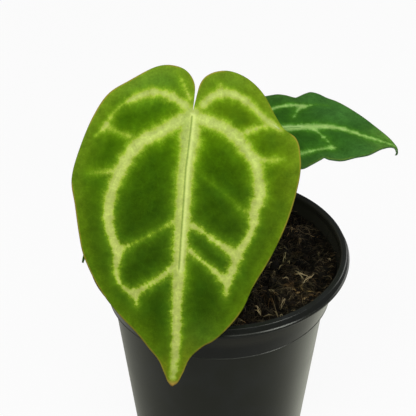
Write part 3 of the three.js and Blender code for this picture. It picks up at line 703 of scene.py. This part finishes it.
def petiole(maker, leaf):
    """The petiole, which comes up under the blade and runs into a swollen joint."""
    seats = [blade_points(leaf, np.array([0.0]), np.array([-2.0]), np.array([-d]))[0] for d in (4, 0.6)]
    route = spaced(list(leaf["petiole"]) + [tuple(s) for s in seats], PETIOLE_STEPS)
    shares = np.linspace(0, 1, len(route))
    radii = np.interp(shares, np.linspace(0, 1, len(leaf["petiole_radii"])), leaf["petiole_radii"])
    points, faces = tube(route, radii, PETIOLE_SIDES)
    maker.add(points, faces, STALK, along=np.repeat(shares, PETIOLE_SIDES))
    steps = 9
    middle = blade_points(leaf, np.zeros(steps), np.linspace(0.6, -3.8, steps), np.full(steps, -1.6))
    swell = JOINT_RADIUS * np.sin(np.linspace(0.15, math.pi - 0.15, steps))
    points, faces = tube(middle, swell, 16)
    maker.add(points, faces, STALK, along=np.ones(len(points)))


def leaf_piece(leaf, upper, under, stalk):
    """A leaf grown as one: blade, raised ribs under it and petiole."""
    maker = Maker()
    blade(maker, leaf)
    ribs(maker, leaf)
    petiole(maker, leaf)
    piece = maker.make(leaf["node"] + "_grown", [upper, under, stalk])
    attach(piece, "root")
    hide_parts(leaf["node"])
    return piece


def frayed(tree, border, comb, grain):
    """Distance past the border of the pale bands, frayed by veinlets about 0.9 mm apart. The border also
    sways over about 3 mm, and frays more further out."""
    fine = add(tree, "Mapping", {"Vector": comb, "Scale": (1.1, 0.35, 1)})
    tufts = add(tree, "Mapping", {"Vector": comb, "Scale": (0.36, 0.2, 1)})
    jag = add(tree, "TexNoise", {"Vector": fine, "Scale": 1, "Detail": 3, "Roughness": 0.7})
    tuft = add(tree, "TexNoise", {"Vector": tufts, "Scale": 1, "Detail": 4, "Roughness": 0.6})
    far = add(tree, "MapRange", [border, -0.8, 5, 0.5, 2.6])
    shift = add(tree, "Math", [jag, 0.5, -1.75], operation="MULTIPLY_ADD")
    shift = add(tree, "Math", [grain, 3, shift], operation="MULTIPLY_ADD")
    shift = add(tree, "Math", [shift, far], operation="MULTIPLY")
    sway = add(tree, "Math", [tuft, 0.5], operation="SUBTRACT")
    sway = add(tree, "Math", [sway, 4, shift], operation="MULTIPLY_ADD")
    return add(tree, "Math", [border, sway], operation="ADD")


def leaf_green(tree, looks, gap, rim, along, place, tints):
    """Colour of the bands and of the green between them: paler towards the lobes than towards the tip,
    lighter and yellower near the margin, and cooler in patches about 12 mm across."""
    # Painted light and sheen: towards the lobes, and in the pale spots, the green turns to the lighter lobe
    # colours, and the sheen spots add a painted bluish sheen.
    pale, painted_sheen, warm = (add(tree, "SeparateXYZ", [tints], axis) for axis in "XYZ")
    height = add(tree, "MapRange", [along, *looks["fade"]])
    height = add(tree, "Math", [height, pale], operation="ADD", use_clamp=True)
    level = add(tree, "MapRange", [gap, *RAMP_REACH])
    places = [(mm - RAMP_REACH[0]) / (RAMP_REACH[1] - RAMP_REACH[0]) for mm, _, _ in looks["ramp"]]
    low, high = (add(tree, "ValToRGB", [level], stops=list(zip(places, colours)))
                 for colours in list(zip(*looks["ramp"]))[1:])
    tone = coated(tree, low, (high, height))
    olive = coated(tree, looks["margin"][0], (looks["margin"][1], height))
    outer = add(tree, "ValToRGB", [add(tree, "MapRange", [rim, 0, 12])],
                stops=[(0, "ffffff"), (0.2, "e8e8e8"), (0.45, "a0a0a0"), (1, "000000")])
    field = add(tree, "MapRange", [gap, 0, 2.5])
    cool = add(tree, "TexNoise", {"Vector": place, "Scale": 0.08, "Detail": 2})
    cool = add(tree, "MapRange", [cool, 0.5, 0.7, 0, 0.4])
    # The sheen spots lay a painted bluish sheen over the green between the bands.
    return coated(tree, tone, (olive, outer, field), (looks["warm"], warm, field),
                  (looks["painted_sheen"], painted_sheen, field), (looks["cool"], cool, field))


def lit_ridges(tree, looks, tone, gap, groove, across):
    """The tone with light on the main veins: the crest to the right of their groove catches it, and the
    flank to the left falls away from it."""
    band = add(tree, "MapRange", [gap, -0.8, -0.1, 1, 0])
    for side, near, away, share, colour in ((1, (0.3, 0.8), (1.1, 2.2), 0.5, looks["crest"]),
                                            (-1, (0.5, 2.5), (3.2, 4.4), 0.2, looks["groove"])):
        rise = add(tree, "MapRange", [groove, *near])
        fall = add(tree, "MapRange", [groove, *away, share, 0])
        half = add(tree, "MapRange", [across, -0.7 - 0.3 * side, -0.7 + 0.3 * side])
        tone = coated(tree, tone, (colour, rise, fall, half, band))
    return tone


def upper_face(name, looks):
    """Upper face of a velvety aroid leaf: minute domed cells trap the light, so it has a deep colour and
    little gloss, and green tissue thins out to pale bands along the veins, frayed by fine veinlets."""
    material, tree, shader = surface(name)
    border, rim, groove = (add(tree, "Attribute", (), "Fac", attribute_name=field)
                           for field in ("border", "rim", "groove"))
    comb, tints, place = (add(tree, "Attribute", (), "Vector", attribute_name=field)
                          for field in ("comb", "tints", "leaf_mm"))
    across, along = (add(tree, "SeparateXYZ", [place], axis) for axis in "XY")
    grain = add(tree, "TexNoise", {"Vector": place, "Scale": 1.1, "Detail": 3, "Roughness": 0.7})
    gap = frayed(tree, border, comb, grain)
    tone = leaf_green(tree, looks, gap, rim, along, place, tints)
    # Mottling about 5 mm and 1.5 mm across, and the smallest veins, which part the green into 4 mm fields.
    mottle = add(tree, "TexNoise", {"Vector": place, "Scale": 0.2, "Detail": 5, "Roughness": 0.7})
    net = add(tree, "TexVoronoi", {"Vector": place, "Scale": 0.25}, feature="DISTANCE_TO_EDGE")
    value = add(tree, "MapRange", [mottle, 0.3, 0.7, 0.78, 1.24])
    thread = add(tree, "MapRange", [net, 0, 0.1, 1.1, 1])
    fleck = add(tree, "MapRange", [grain, 0.3, 0.7, 0.86, 1.14])
    for factor in (thread, fleck):
        value = add(tree, "Math", [value, factor], operation="MULTIPLY")
    tone = add(tree, "HueSaturation", {"Color": tone, "Value": value})
    tone = lit_ridges(tree, looks, tone, gap, groove, across)
    # Painted shade darkens the groove down the middle of the main veins, the very edge is a thin tan or
    # reddish line, and the drip tip is dry.
    line = add(tree, "MapRange", [groove, 0.1, 0.6, 0.6, 0], interpolation_type="SMOOTHSTEP")
    drift = add(tree, "TexNoise", {"Vector": place, "Scale": 0.06, "Detail": 2})
    drawn = add(tree, "MapRange", [drift, 0.45, 0.55, 0.1, 0.75])
    thin = add(tree, "MapRange", [rim, 0.25, 0.8, 1, 0])
    dry = add(tree, "MapRange", [along, looks["dry"], looks["dry"] - 3, 0, 0.85])
    tone = coated(tree, tone, (looks["groove"], line), (looks["edge"], drawn, thin), (looks["tip"], dry))
    # Domed cells, drawn 0.5 mm apart so that the nap shows, and a slight dip along the groove and the net.
    nap = add(tree, "TexNoise", {"Vector": place, "Scale": 2, "Detail": 3})
    relief = add(tree, "Math", [line, -0.8, nap], operation="MULTIPLY_ADD")
    relief = add(tree, "Math", [thread, -2.5, relief], operation="MULTIPLY_ADD")
    bump = add(tree, "Bump", {"Height": relief, "Strength": 0.35, "Distance": 0.25 * MM})
    feed(tree, shader, {"Base Color": tone, "Normal": bump, "Roughness": looks["gloss"],
                        "Specular IOR Level": 0.012})
    return material


def under_face(name, field, vein):
    """Underside of the leaf: smooth matt tissue without the nap, paler and greyer, with raised pale
    veins."""
    material, tree, shader = surface(name)
    border = add(tree, "Attribute", (), "Fac", attribute_name="border")
    place = add(tree, "Attribute", (), "Vector", attribute_name="leaf_mm")
    level = add(tree, "MapRange", [border, -1, 2.5])
    tone = add(tree, "ValToRGB", [level], stops=[(0, vein), (0.3, vein), (1, field)])
    # Mottling about 3 mm across.
    mottle = add(tree, "TexNoise", {"Vector": place, "Scale": 0.3, "Detail": 4})
    value = add(tree, "MapRange", [mottle, 0.3, 0.7, 0.85, 1.12])
    tone = add(tree, "HueSaturation", {"Color": tone, "Value": value})
    bump = add(tree, "Bump", {"Height": mottle, "Strength": 0.3, "Distance": 0.3 * MM})
    feed(tree, shader, {"Base Color": tone, "Normal": bump, "Roughness": 0.6, "Specular IOR Level": 0.3})
    return material


def stalk_skin(name, foot, top):
    """Skin of a fresh petiole: firm waxy green, ribbed along its length, browner where it swells at the
    blade."""
    material, tree, shader = surface(name)
    along = add(tree, "Attribute", (), "Fac", attribute_name="along")
    where = add(tree, "TexCoord", (), "Object")
    tone = add(tree, "ValToRGB", [along], stops=[(0, foot), (0.12, top), (0.85, top), (1, "8a7a3c")])
    # Fine streaks about 0.7 mm apart run along it.
    streak = add(tree, "Mapping", {"Vector": where, "Scale": (1400, 1400, 120)})
    lines = add(tree, "TexNoise", {"Vector": streak, "Scale": 1, "Detail": 2})
    value = add(tree, "MapRange", [lines, 0.3, 0.7, 0.8, 1.15])
    tone = add(tree, "HueSaturation", {"Color": tone, "Value": value})
    bump = add(tree, "Bump", {"Height": lines, "Strength": 0.4, "Distance": 0.2 * MM})
    feed(tree, shader, {"Base Color": tone, "Normal": bump, "Roughness": 0.42})
    return material


# Potting mix.

def seeded(seed):
    """The repeatable stream of numbers from 0 to 1 that places the lumps."""
    state = seed
    while True:
        state = (state * 1664525 + 1013904223) % 4294967296
        yield state / 4294967296


def inner_radius(z):
    """Radius of the pot's inner wall at a height above its underside."""
    drop = POT_HEIGHT - z
    lip_foot = RIM_RADIUS - LIP_WIDTH
    collar_foot = COLLAR_FOOT_RADIUS - POT_WALL
    if drop <= LIP_HEIGHT:
        return lip_foot
    if drop <= LEDGE_DROP:
        return lip_foot + (collar_foot - lip_foot) * (drop - LIP_HEIGHT) / (LEDGE_DROP - LIP_HEIGHT)
    return collar_foot - LEDGE_STEP - BODY_TAPER * (drop - LEDGE_DROP)


def soil_lumps():
    """Places, radii and rises of the lumps and dips in the mix's top, as the solid has them."""
    stream = seeded(5)
    lumps = []
    for _ in range(LUMP_COUNT):
        angle = 2 * math.pi * next(stream)
        distance = SOIL_REACH * math.sqrt(next(stream))
        size = 0.5 + 0.5 * next(stream)
        sink = -0.7 if next(stream) < 0.3 else 1
        lumps.append((distance * math.cos(angle), distance * math.sin(angle), LUMP_RADIUS * size,
                      LUMP_HEIGHT * size * sink))
    return lumps


LUMPS = soil_lumps()


def soil_height(x, y):
    """Height of the mix's top: slow swells, lumps, and the crumb of peat and bark on them."""
    swell = math.sin(x / 9 + 0.7) * math.cos(y / 11 - 0.4) + 0.6 * math.sin((x - 1.3 * y) / 6.5)
    height = SOIL_RELIEF * swell
    for lx, ly, radius, rise in LUMPS:
        height += rise * math.exp(-((x - lx) ** 2 + (y - ly) ** 2) / radius ** 2)
    for size, rise in SOIL_CRUMB:
        height += rise * noise.noise((x / size, y / size, size * 7))
    return SOIL_LEVEL + height


def standing(z):
    """How far a height on the mix stands out of its hollows: 0 in the deep ones, 1 on the crests."""
    # The painted shade on the peat and its crumbs deepens towards 0.
    return (z - SOIL_LEVEL + 2.5) / 5


def soil_body(peat):
    """The block of potting mix, with a crumbled top, cut a little inside the pot's wall."""
    sides, rings = 260, 76
    brim = inner_radius(SOIL_LEVEL) - FIT_GAP
    floor = BASE_RECESS + POT_WALL + FIT_GAP
    ledge = POT_HEIGHT - LEDGE_DROP + POT_WALL + FIT_GAP
    circles = [(brim * i / rings, None) for i in range(1, rings + 1)]
    for wall, height in ((ledge, ledge), (ledge - 2 * POT_WALL, ledge), (floor, floor)):
        circles.append((inner_radius(wall) - FIT_GAP, height))
    points, faces = lathe([(0, SOIL_LEVEL)] + circles + [(0, floor)], sides)
    shaped = []
    for x, y, z in points:
        if z is None:
            ease = min(1, max(0.25, (brim - math.hypot(x, y)) / 2))
            z = SOIL_LEVEL + ease * (soil_height(x, y) - SOIL_LEVEL)
        shaped.append((x, y, z))
    maker = Maker()
    # How far each point stands out of its hollows sets the painted shade of the peat.
    rise = np.array([standing(z) for _, _, z in shaped])
    maker.add(shaped, [face[::-1] for face in faces], rise=rise)
    return maker.make("soil_mix", [peat])


def crumbs(peat):
    """Loose crumbs of peat and bark on the top of the mix."""
    pick = random.Random(12)
    maker = Maker()
    steps = [(math.sin(t) * math.cos(a), math.sin(t) * math.sin(a), math.cos(t))
             for t in (0.6, 1.2, 1.9, 2.5) for a in (0, 1.05, 2.1, 3.14, 4.19, 5.24)]
    shell = [(0, 0, 1)] + steps + [(0, 0, -1)]
    faces = []
    for k in range(6):
        after = (k + 1) % 6
        faces.append((0, 1 + k, 1 + after))
        faces.append((25, 19 + after, 19 + k))
        for row in range(3):
            low = 1 + row * 6
            faces.append((low + k, low + 6 + k, low + 6 + after, low + after))
    for _ in range(CRUMB_COUNT):
        angle = pick.uniform(0, 2 * math.pi)
        distance = (SOIL_REACH + 0.5) * math.sqrt(pick.random())
        x, y = distance * math.cos(angle), distance * math.sin(angle)
        if math.hypot(x - STEM_CENTRE[0], y - STEM_CENTRE[1]) < STEM_RADIUS + 2:
            continue
        # One crumb in ten is twice as large.
        size = pick.uniform(*CRUMB_SIZES) * (1 + (pick.random() < 0.1))
        turn = Matrix.Rotation(pick.uniform(0, 6.28), 3, "Z")
        turn = turn @ Matrix.Rotation(pick.uniform(-0.7, 0.7), 3, "X")
        stretch = Vector((pick.uniform(0.8, 1.7), pick.uniform(0.5, 1), pick.uniform(0.35, 0.8)))
        z = soil_height(x, y) + 0.2 * size
        points = []
        for p in shell:
            jitter = 1 + 0.35 * noise.noise((p[0] * 1.7 + x, p[1] * 1.7 + y, p[2] * 1.7))
            q = turn @ (Vector(p) * stretch) * size * jitter
            points.append((x + q[0], y + q[1], z + q[2]))
        # A crumb's painted shade follows how far it stands out of the hollows, with a little at random.
        maker.add(points, faces, rise=np.full(len(points), standing(z) + pick.uniform(-0.1, 0.5)))
    return maker.make("soil_crumbs", [peat])


def strand(pick, x, y, length, curl, heading):
    """Places of a curved strand lying on the mix, which turns back at the pot's wall."""
    steps = 6
    path = []
    for _ in range(steps + 1):
        path.append((x, y))
        x += length / steps * math.cos(heading)
        y += length / steps * math.sin(heading)
        heading += curl * pick.uniform(0.1, 0.5)
        if math.hypot(x, y) > SOIL_REACH + 1:
            heading += 1.2
    return path


def laid(maker, places, lift, thick, sides, finish, tint):
    """Lays a tapered strand on the mix along the places, its ends dipping into it."""
    count = len(places)
    path = []
    radii = []
    for i, (x, y) in enumerate(places):
        rise = math.sin(math.pi * (i + 0.4) / (count - 0.2)) ** 0.6
        path.append((x, y, soil_height(x, y) + lift * rise))
        radii.append(thick * (0.25 + 0.75 * math.sin(math.pi * (i + 0.7) / (count + 0.4)) ** 0.5))
    points, faces = tube(path, radii, sides)
    maker.add(points, faces, finish, tint=np.full(len(points), tint))


def fibres(coir, straw):
    """Dark coir and peat fibres all over the mix, paler ones among them, and the straws that show most."""
    pick = random.Random(31)
    maker = Maker()
    tufts = TUFTS + [(44 * math.cos(k) * (k % 3 + 1) / 3, 44 * math.sin(k) * (k % 3 + 1) / 3)
                     for k in range(2, 22)]
    for number in range(FIBRE_COUNT):
        angle = pick.uniform(0, 2 * math.pi)
        # Two fibres in five lie in tufts, and one in four is long.
        if number % 5 < 2:
            centre = tufts[number % len(tufts)]
            distance = 1 + 5 * pick.random()
            x, y = centre[0] + distance * math.cos(angle), centre[1] + distance * math.sin(angle)
        else:
            distance = SOIL_REACH * math.sqrt(pick.random())
            x, y = distance * math.cos(angle), distance * math.sin(angle)
        from_stem = math.hypot(x - STEM_CENTRE[0], y - STEM_CENTRE[1])
        if from_stem < STEM_RADIUS + 3 or math.hypot(x, y) > SOIL_REACH:
            continue
        length = pick.uniform(4, 9) if number % 4 == 0 else pick.uniform(1.2, 3.6)
        places = strand(pick, x, y, length, pick.uniform(-0.5, 0.5), angle + pick.uniform(-1, 1))
        # Painted shade: fibres lying lower in the hollows are darker.
        high = min(1, max(0, (soil_height(x, y) - SOIL_LEVEL + 1) / 4))
        laid(maker, places, pick.uniform(0.3, 1.8), pick.uniform(*FIBRE_RADII), 3, 0,
             high * pick.random() ** 3)
    # A straw is split into three strands side by side.
    for places, thick, tint in STRAWS:
        line = spaced([(x, y, 0) for x, y in places], 8)[:, :2]
        for shift, share in ((0, 1), (0.35, 0.6), (-0.4, 0.45)):
            moved = [(x + shift + 0.25 * math.sin(k + 9 * shift), y - 0.6 * shift)
                     for k, (x, y) in enumerate(line)]
            laid(maker, moved, 1.4, min(0.14, 0.5 * thick) * share, 5, 1, tint * (0.5 + 0.5 * share))
    return maker.make("soil_fibres", [coir, straw])


def peat_finish():
    """Damp sphagnum peat with milled bark: near-black and matt, with brown bits in it."""
    material, tree, shader = surface("damp sphagnum peat")
    where = add(tree, "TexCoord", (), "Object")
    # Bits of 3 mm and a grain of 0.6 mm.
    bits = add(tree, "TexNoise", {"Vector": where, "Scale": 330, "Detail": 4, "Roughness": 0.7})
    grain = add(tree, "TexNoise", {"Vector": where, "Scale": 1600, "Detail": 3})
    tone = add(tree, "ValToRGB", [bits], stops=[(0.35, "080806"), (0.5, "100e08"), (0.6, "1c150d"),
                                                (0.72, "34281a")])
    # Painted shade: the hollows are darkest, and the crests lighter.
    rise = add(tree, "Attribute", (), "Fac", attribute_name="rise")
    lit = add(tree, "MapRange", [rise, 0.1, 1, 0.1, 1.5])
    value = add(tree, "MapRange", [grain, 0.3, 0.7, 0.5, 1.5])
    value = add(tree, "Math", [value, lit], operation="MULTIPLY")
    tone = add(tree, "HueSaturation", {"Color": tone, "Value": value})
    bump = add(tree, "Bump", {"Height": grain, "Strength": 0.8, "Distance": 0.5 * MM})
    feed(tree, shader, {"Base Color": tone, "Normal": bump, "Roughness": 0.9, "Specular IOR Level": 0.2})
    return material


def fibre_finish(name, dark, light):
    """Dry plant fibre: matt, each strand with its own tone and a little change of tone along it."""
    material, tree, shader = surface(name)
    tint = add(tree, "Attribute", (), "Fac", attribute_name="tint")
    where = add(tree, "TexCoord", (), "Object")
    wear = add(tree, "TexNoise", {"Vector": where, "Scale": 500, "Detail": 2})
    level = add(tree, "Math", [wear, 0.6, tint], operation="MULTIPLY_ADD")
    level = add(tree, "MapRange", [level, 0.2, 1.4])
    tone = add(tree, "ValToRGB", [level], stops=[(0, dark), (1, light)])
    # Strands in some spots are green with algae, and in others rusty. The spots are about 10 mm across.
    algae = add(tree, "TexNoise", {"Vector": where, "Scale": 90, "Detail": 1})
    algae = add(tree, "MapRange", [algae, 0.45, 0.65, 0, 0.5])
    green = add(tree, "HueSaturation", {"Color": tone, "Hue": 0.54, "Value": 0.7})
    tone = coated(tree, tone, (green, algae))
    rust = add(tree, "TexNoise", {"Vector": where, "Scale": 130, "Detail": 1})
    rust = add(tree, "MapRange", [rust, 0.5, 0.65, 0, 0.7])
    red = add(tree, "HueSaturation", {"Color": tone, "Hue": 0.47, "Saturation": 1.4})
    tone = coated(tree, tone, (red, rust))
    feed(tree, shader, {"Base Color": tone, "Roughness": 0.75, "Specular IOR Level": 0.25})
    return material


# Pot.

def drained(piece):
    """Cuts the drain holes through the pot's floor."""
    drills = Maker()
    for hole in range(DRAIN_COUNT):
        angle = 2 * math.pi * hole / DRAIN_COUNT
        x, y = DRAIN_PITCH_RADIUS * math.cos(angle), DRAIN_PITCH_RADIUS * math.sin(angle)
        drills.add(*tube([(x, y, -4), (x, y, 9)], [DRAIN_RADIUS] * 2, 40))
    drill = drills.make("drills", [])
    cut = piece.modifiers.new("drains", "BOOLEAN")
    cut.object = drill
    cut.solver = "EXACT"
    shown = piece.evaluated_get(bpy.context.evaluated_depsgraph_get())
    piece.modifiers.clear()
    piece.data = bpy.data.meshes.new_from_object(shown)
    bpy.data.objects.remove(drill)


def pot_piece(plastic):
    """The nursery pot: turned wall with a rolled lip, a tapered collar, a ledge and a footed floor with
    drains."""
    floor_top = BASE_RECESS + POT_WALL
    ledge = POT_HEIGHT - LEDGE_DROP
    lip_foot = POT_HEIGHT - LIP_HEIGHT
    base = inner_radius(0) + POT_WALL
    profile = [
        (0, floor_top, 0),
        (inner_radius(floor_top), floor_top, 1),
        (inner_radius(ledge - POT_WALL), ledge + POT_WALL, 0.5),
        (inner_radius(ledge + POT_WALL), ledge + POT_WALL, 0.5),
        (inner_radius(lip_foot), lip_foot, 0.5),
        *[(RIM_RADIUS - inward, POT_HEIGHT - down, ease) for inward, down, ease in LIP],
        (inner_radius(lip_foot) + POT_WALL, lip_foot + 1.2, 0.2),
        *[(COLLAR_FOOT_RADIUS + out, ledge + up, 0) for out, up in LEDGE_BEAD],
        (COLLAR_FOOT_RADIUS - LEDGE_STEP, ledge, 0.4),
        (base, 0, 1.6),
        (base - FOOT_RING_WIDTH, 0, 0.5),
        (base - FOOT_RING_WIDTH - BASE_RECESS, BASE_RECESS, 0.5),
        (BASE_BOSS_RADIUS + BASE_RECESS, BASE_RECESS, 0.5),
        (BASE_BOSS_RADIUS, 0, 0.5),
        (0, 0, 0),
    ]
    maker = Maker()
    maker.add(*lathe(rounded(profile), POT_SIDES))
    piece = maker.make("pot_moulded", [plastic], sharp=50)
    drained(piece)
    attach(piece, "root")
    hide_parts("pot")
    return piece


def pot_finish():
    """Carbon-black polypropylene, injection moulded: satin, with a fine orange-peel skin, faint flow marks
    round the wall and a little dry dust."""
    material, tree, shader = surface("moulded black polypropylene")
    where = add(tree, "TexCoord", (), "Object")
    dust = add(tree, "TexNoise", {"Vector": where, "Scale": 60, "Detail": 5, "Roughness": 0.65})
    level = add(tree, "MapRange", [dust, 0.45, 0.8])
    tone = add(tree, "ValToRGB", [level], stops=[(0, "1c1e1a"), (1, "26282a")])
    # A painted highlight makes a paler line along the ledge's edge, where it catches the light from
    # above, and dry dust clings to the wall inside the lip.
    height = add(tree, "SeparateXYZ", [where], "Z")
    ledge = (POT_HEIGHT - LEDGE_DROP + 0.3) * MM
    low = add(tree, "MapRange", [height, ledge - LEDGE_HIGHLIGHT_REACH * MM, ledge])
    high = add(tree, "MapRange", [height, ledge, ledge + LEDGE_HIGHLIGHT_REACH * MM, 1, 0])
    flat = add(tree, "VectorMath", [where, (1, 1, 0)], operation="MULTIPLY")
    away = add(tree, "VectorMath", [flat], "Value", operation="LENGTH")
    inside = add(tree, "MapRange", [away, 56.2 * MM, 56.9 * MM, 1, 0])
    above = add(tree, "MapRange", [height, 90 * MM, 94 * MM])
    tone = coated(tree, tone, ("3c3e3a", low, high), ("34342c", inside, above))
    # Orange peel about 0.8 mm across; flow marks stretch round the pot about 6 mm apart.
    peel = add(tree, "TexNoise", {"Vector": where, "Scale": 1250, "Detail": 1})
    flow = add(tree, "Mapping", {"Vector": where, "Scale": (12, 12, 160)})
    flow = add(tree, "TexNoise", {"Vector": flow, "Scale": 1, "Detail": 3})
    rough = add(tree, "MapRange", [flow, 0.3, 0.7, 0.2, 0.24])
    relief = add(tree, "Math", [flow, peel], operation="ADD")
    bump = add(tree, "Bump", {"Height": relief, "Strength": 0.1, "Distance": 0.08 * MM})
    feed(tree, shader, {"Base Color": tone, "Roughness": rough, "Normal": bump, "IOR": 1.49,
                        "Specular Tint": (0.97, 1, 0.9, 1)})
    return material


# Stem.

def stem_piece(skin, papery):
    """The short stem with ring scars, and the dried sheaths that clasp the petioles at its top."""
    maker = Maker()
    rows, sides = 60, 48
    cx, cy = STEM_CENTRE
    shares = np.linspace(0, 1, rows)
    path = [(cx, cy, STEM_FOOT + (STEM_TOP - STEM_FOOT) * share) for share in shares]
    radii = STEM_RADIUS * np.interp(shares, (0, 0.25, 0.5, 0.75, 1), (0.5, 0.85, 1, 0.95, 0.6))
    # The scars are rings about 4 mm apart, and the bark between them is lumpy.
    radii = radii * (1 + 0.03 * np.sin(shares * 60))
    points, faces = tube(path, radii, sides)
    lumpy = []
    for x, y, z in points:
        swell = 1 + 0.08 * noise.noise((x / 3, y / 3, z / 4))
        lumpy.append((cx + (x - cx) * swell, cy + (y - cy) * swell, z))
    maker.add(lumpy, faces, 0)
    pick = random.Random(8)
    for leaf in (FRONT_LEAF, RIGHT_LEAF, LEFT_LEAF):
        foot, above = np.array(leaf["petiole"][:2], float)
        ahead = (above - foot) / np.linalg.norm(above - foot)
        facing = math.atan2(foot[1] - cy, foot[0] - cx)
        for turn, height in ((0.5, 11), (-0.7, 7)):
            sheath(maker, pick, foot, ahead, facing + turn, height, leaf["petiole_radii"][0] + 0.5)
    piece = maker.make("stem_grown", [skin, papery])
    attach(piece, "root")
    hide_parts("stem")
    return piece


def sheath(maker, pick, foot, ahead, facing, height, radius):
    """A dried papery sheath: a curved strip that tapers to a point as it stands up the petiole."""
    rows, columns = 14, 9
    points = []
    for layer in (0, 0.25):
        for i in range(rows):
            share = i / (rows - 1)
            spread = 1.3 * (1 - share) ** 0.7 + 0.03
            centre = foot + ahead * (share * height - 0.5)
            for j in range(columns):
                angle = facing + spread * (2 * j / (columns - 1) - 1)
                away = radius + layer + 0.25 * share + 0.1 * math.sin(3 * j + 5 * share)
                points.append((centre[0] + away * math.cos(angle), centre[1] + away * math.sin(angle),
                               centre[2] + 0.3 * math.sin(2 * j)))
    back = rows * columns
    faces = []
    for i in range(rows - 1):
        for j in range(columns - 1):
            a = i * columns + j
            faces.append((a, a + columns, a + columns + 1, a + 1))
            faces.append((a + back, a + back + 1, a + back + columns + 1, a + back + columns))
        for a, step in ((i * columns, columns), (i * columns + columns - 1, columns)):
            side = (a, a + back, a + back + step, a + step)
            faces.append(side if a % columns == 0 else side[::-1])
    for j in range(columns - 1):
        low, top = j, (rows - 1) * columns + j
        faces.append((low, low + 1, low + 1 + back, low + back))
        faces.append((top, top + back, top + back + 1, top + 1))
    maker.add(points, faces, 1, tint=np.full(len(points), pick.random()))


# Light and camera.

def softbox(name, place, size, power, mirrored):
    """A lamp turned to the plant. The camera never sees it, and gloss shows it only where it is mirrored."""
    lamp = bpy.data.lights.new(name, "AREA")
    lamp.shape = "RECTANGLE"
    lamp.size, lamp.size_y = size
    lamp.energy = power
    holder = bpy.data.objects.new(name, lamp)
    holder.location = place
    holder.rotation_euler = (Vector(LAMP_AIM) - Vector(place)).to_track_quat("-Z", "Y").to_euler()
    holder.visible_camera = False
    holder.visible_glossy = mirrored
    bpy.context.scene.collection.objects.link(holder)


def backdrop():
    """A pale room: white to the camera, and brighter at the right in what lights the plant and shows in its
    gloss."""
    world = bpy.data.worlds.new("pale backdrop")
    world.use_nodes = True
    tree = world.node_tree
    seen = add(tree, "LightPath", (), "Is Camera Ray")
    way = add(tree, "TexCoord", (), "Generated")
    turned = add(tree, "Mapping", {"Vector": way, "Rotation": (0, 0, math.radians(-38))})
    side = add(tree, "SeparateXYZ", [turned], "X")
    sweep = add(tree, "ValToRGB", [side], stops=[(0, "abaca1"), (0.1, "adaea3"), (0.4, "b9baae"),
                                                 (0.59, "d5d6c8"), (0.7, "f4f6e6"), (0.8, "fdfff0")])
    # Above the horizon it is dim, and the floor of the room is grey.
    height = add(tree, "SeparateXYZ", [way], "Z")
    down = add(tree, "MapRange", [height, -0.56, -0.66])
    under = add(tree, "MapRange", [height, -0.74, -0.95])
    room = coated(tree, "585858", (coated(tree, sweep, ("727272", under)), down))
    # A white card above shows only as a mirror image.
    shiny = add(tree, "LightPath", (), "Is Glossy Ray")
    card = add(tree, "VectorMath", [way, (0, -0.45, 0.89)], "Value", operation="DOT_PRODUCT")
    card = add(tree, "MapRange", [card, 0.86, 0.93, 0, 0.9])
    tone = coated(tree, room, ("ffffff", card, shiny), ("fcfcfc", seen))
    feed(tree, tree.nodes["Background"], {"Color": tone})
    return world


def paper_floor():
    """The white paper that the pot stands on, 0.2 mm under it."""
    reach = FLOOR_REACH
    mesh = bpy.data.meshes.new("floor")
    mesh.from_pydata([(-reach, -reach, 0), (reach, -reach, 0), (reach, reach, 0), (-reach, reach, 0)], [],
                     [(0, 1, 2, 3)])
    floor = bpy.data.objects.new("floor", mesh)
    floor.location.z = -0.2 * MM
    paper, tree, shader = surface("white paper sweep")
    feed(tree, shader, {"Base Color": linear("404040"), "Roughness": 1, "Specular IOR Level": 0,
                        "Emission Color": linear("ffffff"), "Emission Strength": 0.93})
    mesh.materials.append(paper)
    floor.visible_glossy = False
    floor.visible_diffuse = False
    bpy.context.scene.collection.objects.link(floor)


def studio():
    """A pale floor and backdrop under soft light from above and in front, brighter at the right."""
    scene = bpy.context.scene
    scene.view_settings.view_transform = "Standard"
    scene.world = backdrop()
    paper_floor()
    for lamp in LAMPS:
        softbox(*lamp)


def place_camera():
    """The camera, at the place and angle of the photograph."""
    view = bpy.data.cameras.new("camera")
    view.lens = CAMERA_LENS
    view.sensor_width = 36
    view.clip_start = 0.01
    camera = bpy.data.objects.new("camera", view)
    camera.location = [c * MM for c in CAMERA_PLACE]
    camera.rotation_euler = (math.radians(90 - CAMERA_PITCH), 0, 0)
    bpy.context.scene.collection.objects.link(camera)
    bpy.context.scene.camera = camera


# The plant in its studio.

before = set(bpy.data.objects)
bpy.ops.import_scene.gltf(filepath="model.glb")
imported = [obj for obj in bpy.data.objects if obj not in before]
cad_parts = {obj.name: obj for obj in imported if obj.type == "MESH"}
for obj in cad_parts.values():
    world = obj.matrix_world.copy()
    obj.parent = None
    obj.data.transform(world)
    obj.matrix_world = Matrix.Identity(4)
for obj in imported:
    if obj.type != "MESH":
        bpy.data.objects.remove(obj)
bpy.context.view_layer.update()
place_camera()
studio()

young = upper_face("velvety young leaf", YOUNG)
mature = upper_face("velvety mature leaf", MATURE)
small = upper_face("velvety small leaf", SMALL)
under_young = under_face("young leaf underside", field="7fa650", vein="b9cf86")
under_mature = under_face("mature leaf underside", field="5f9457", vein="9cc48c")
stalk = stalk_skin("fresh petiole", foot="7d7a3c", top="6f9436")
leaf_piece(FRONT_LEAF, young, under_young, stalk)
leaf_piece(RIGHT_LEAF, mature, under_mature, stalk)
leaf_piece(LEFT_LEAF, small, under_mature, stalk)

peat = peat_finish()
coir = fibre_finish("coir fibre", dark="0d0b07", light="c8b284")
straw = fibre_finish("dry straw", dark="5a5030", light="f0d8a4")
for piece in (soil_body(peat), crumbs(peat), fibres(coir, straw)):
    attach(piece, "root")
    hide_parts("soil")
pot_piece(pot_finish())
stem_piece(stalk_skin("fresh stem", foot="6f6a3c", top="7d8a44"),
           fibre_finish("dried papery sheath", dark="5a4024", light="a0825a"))
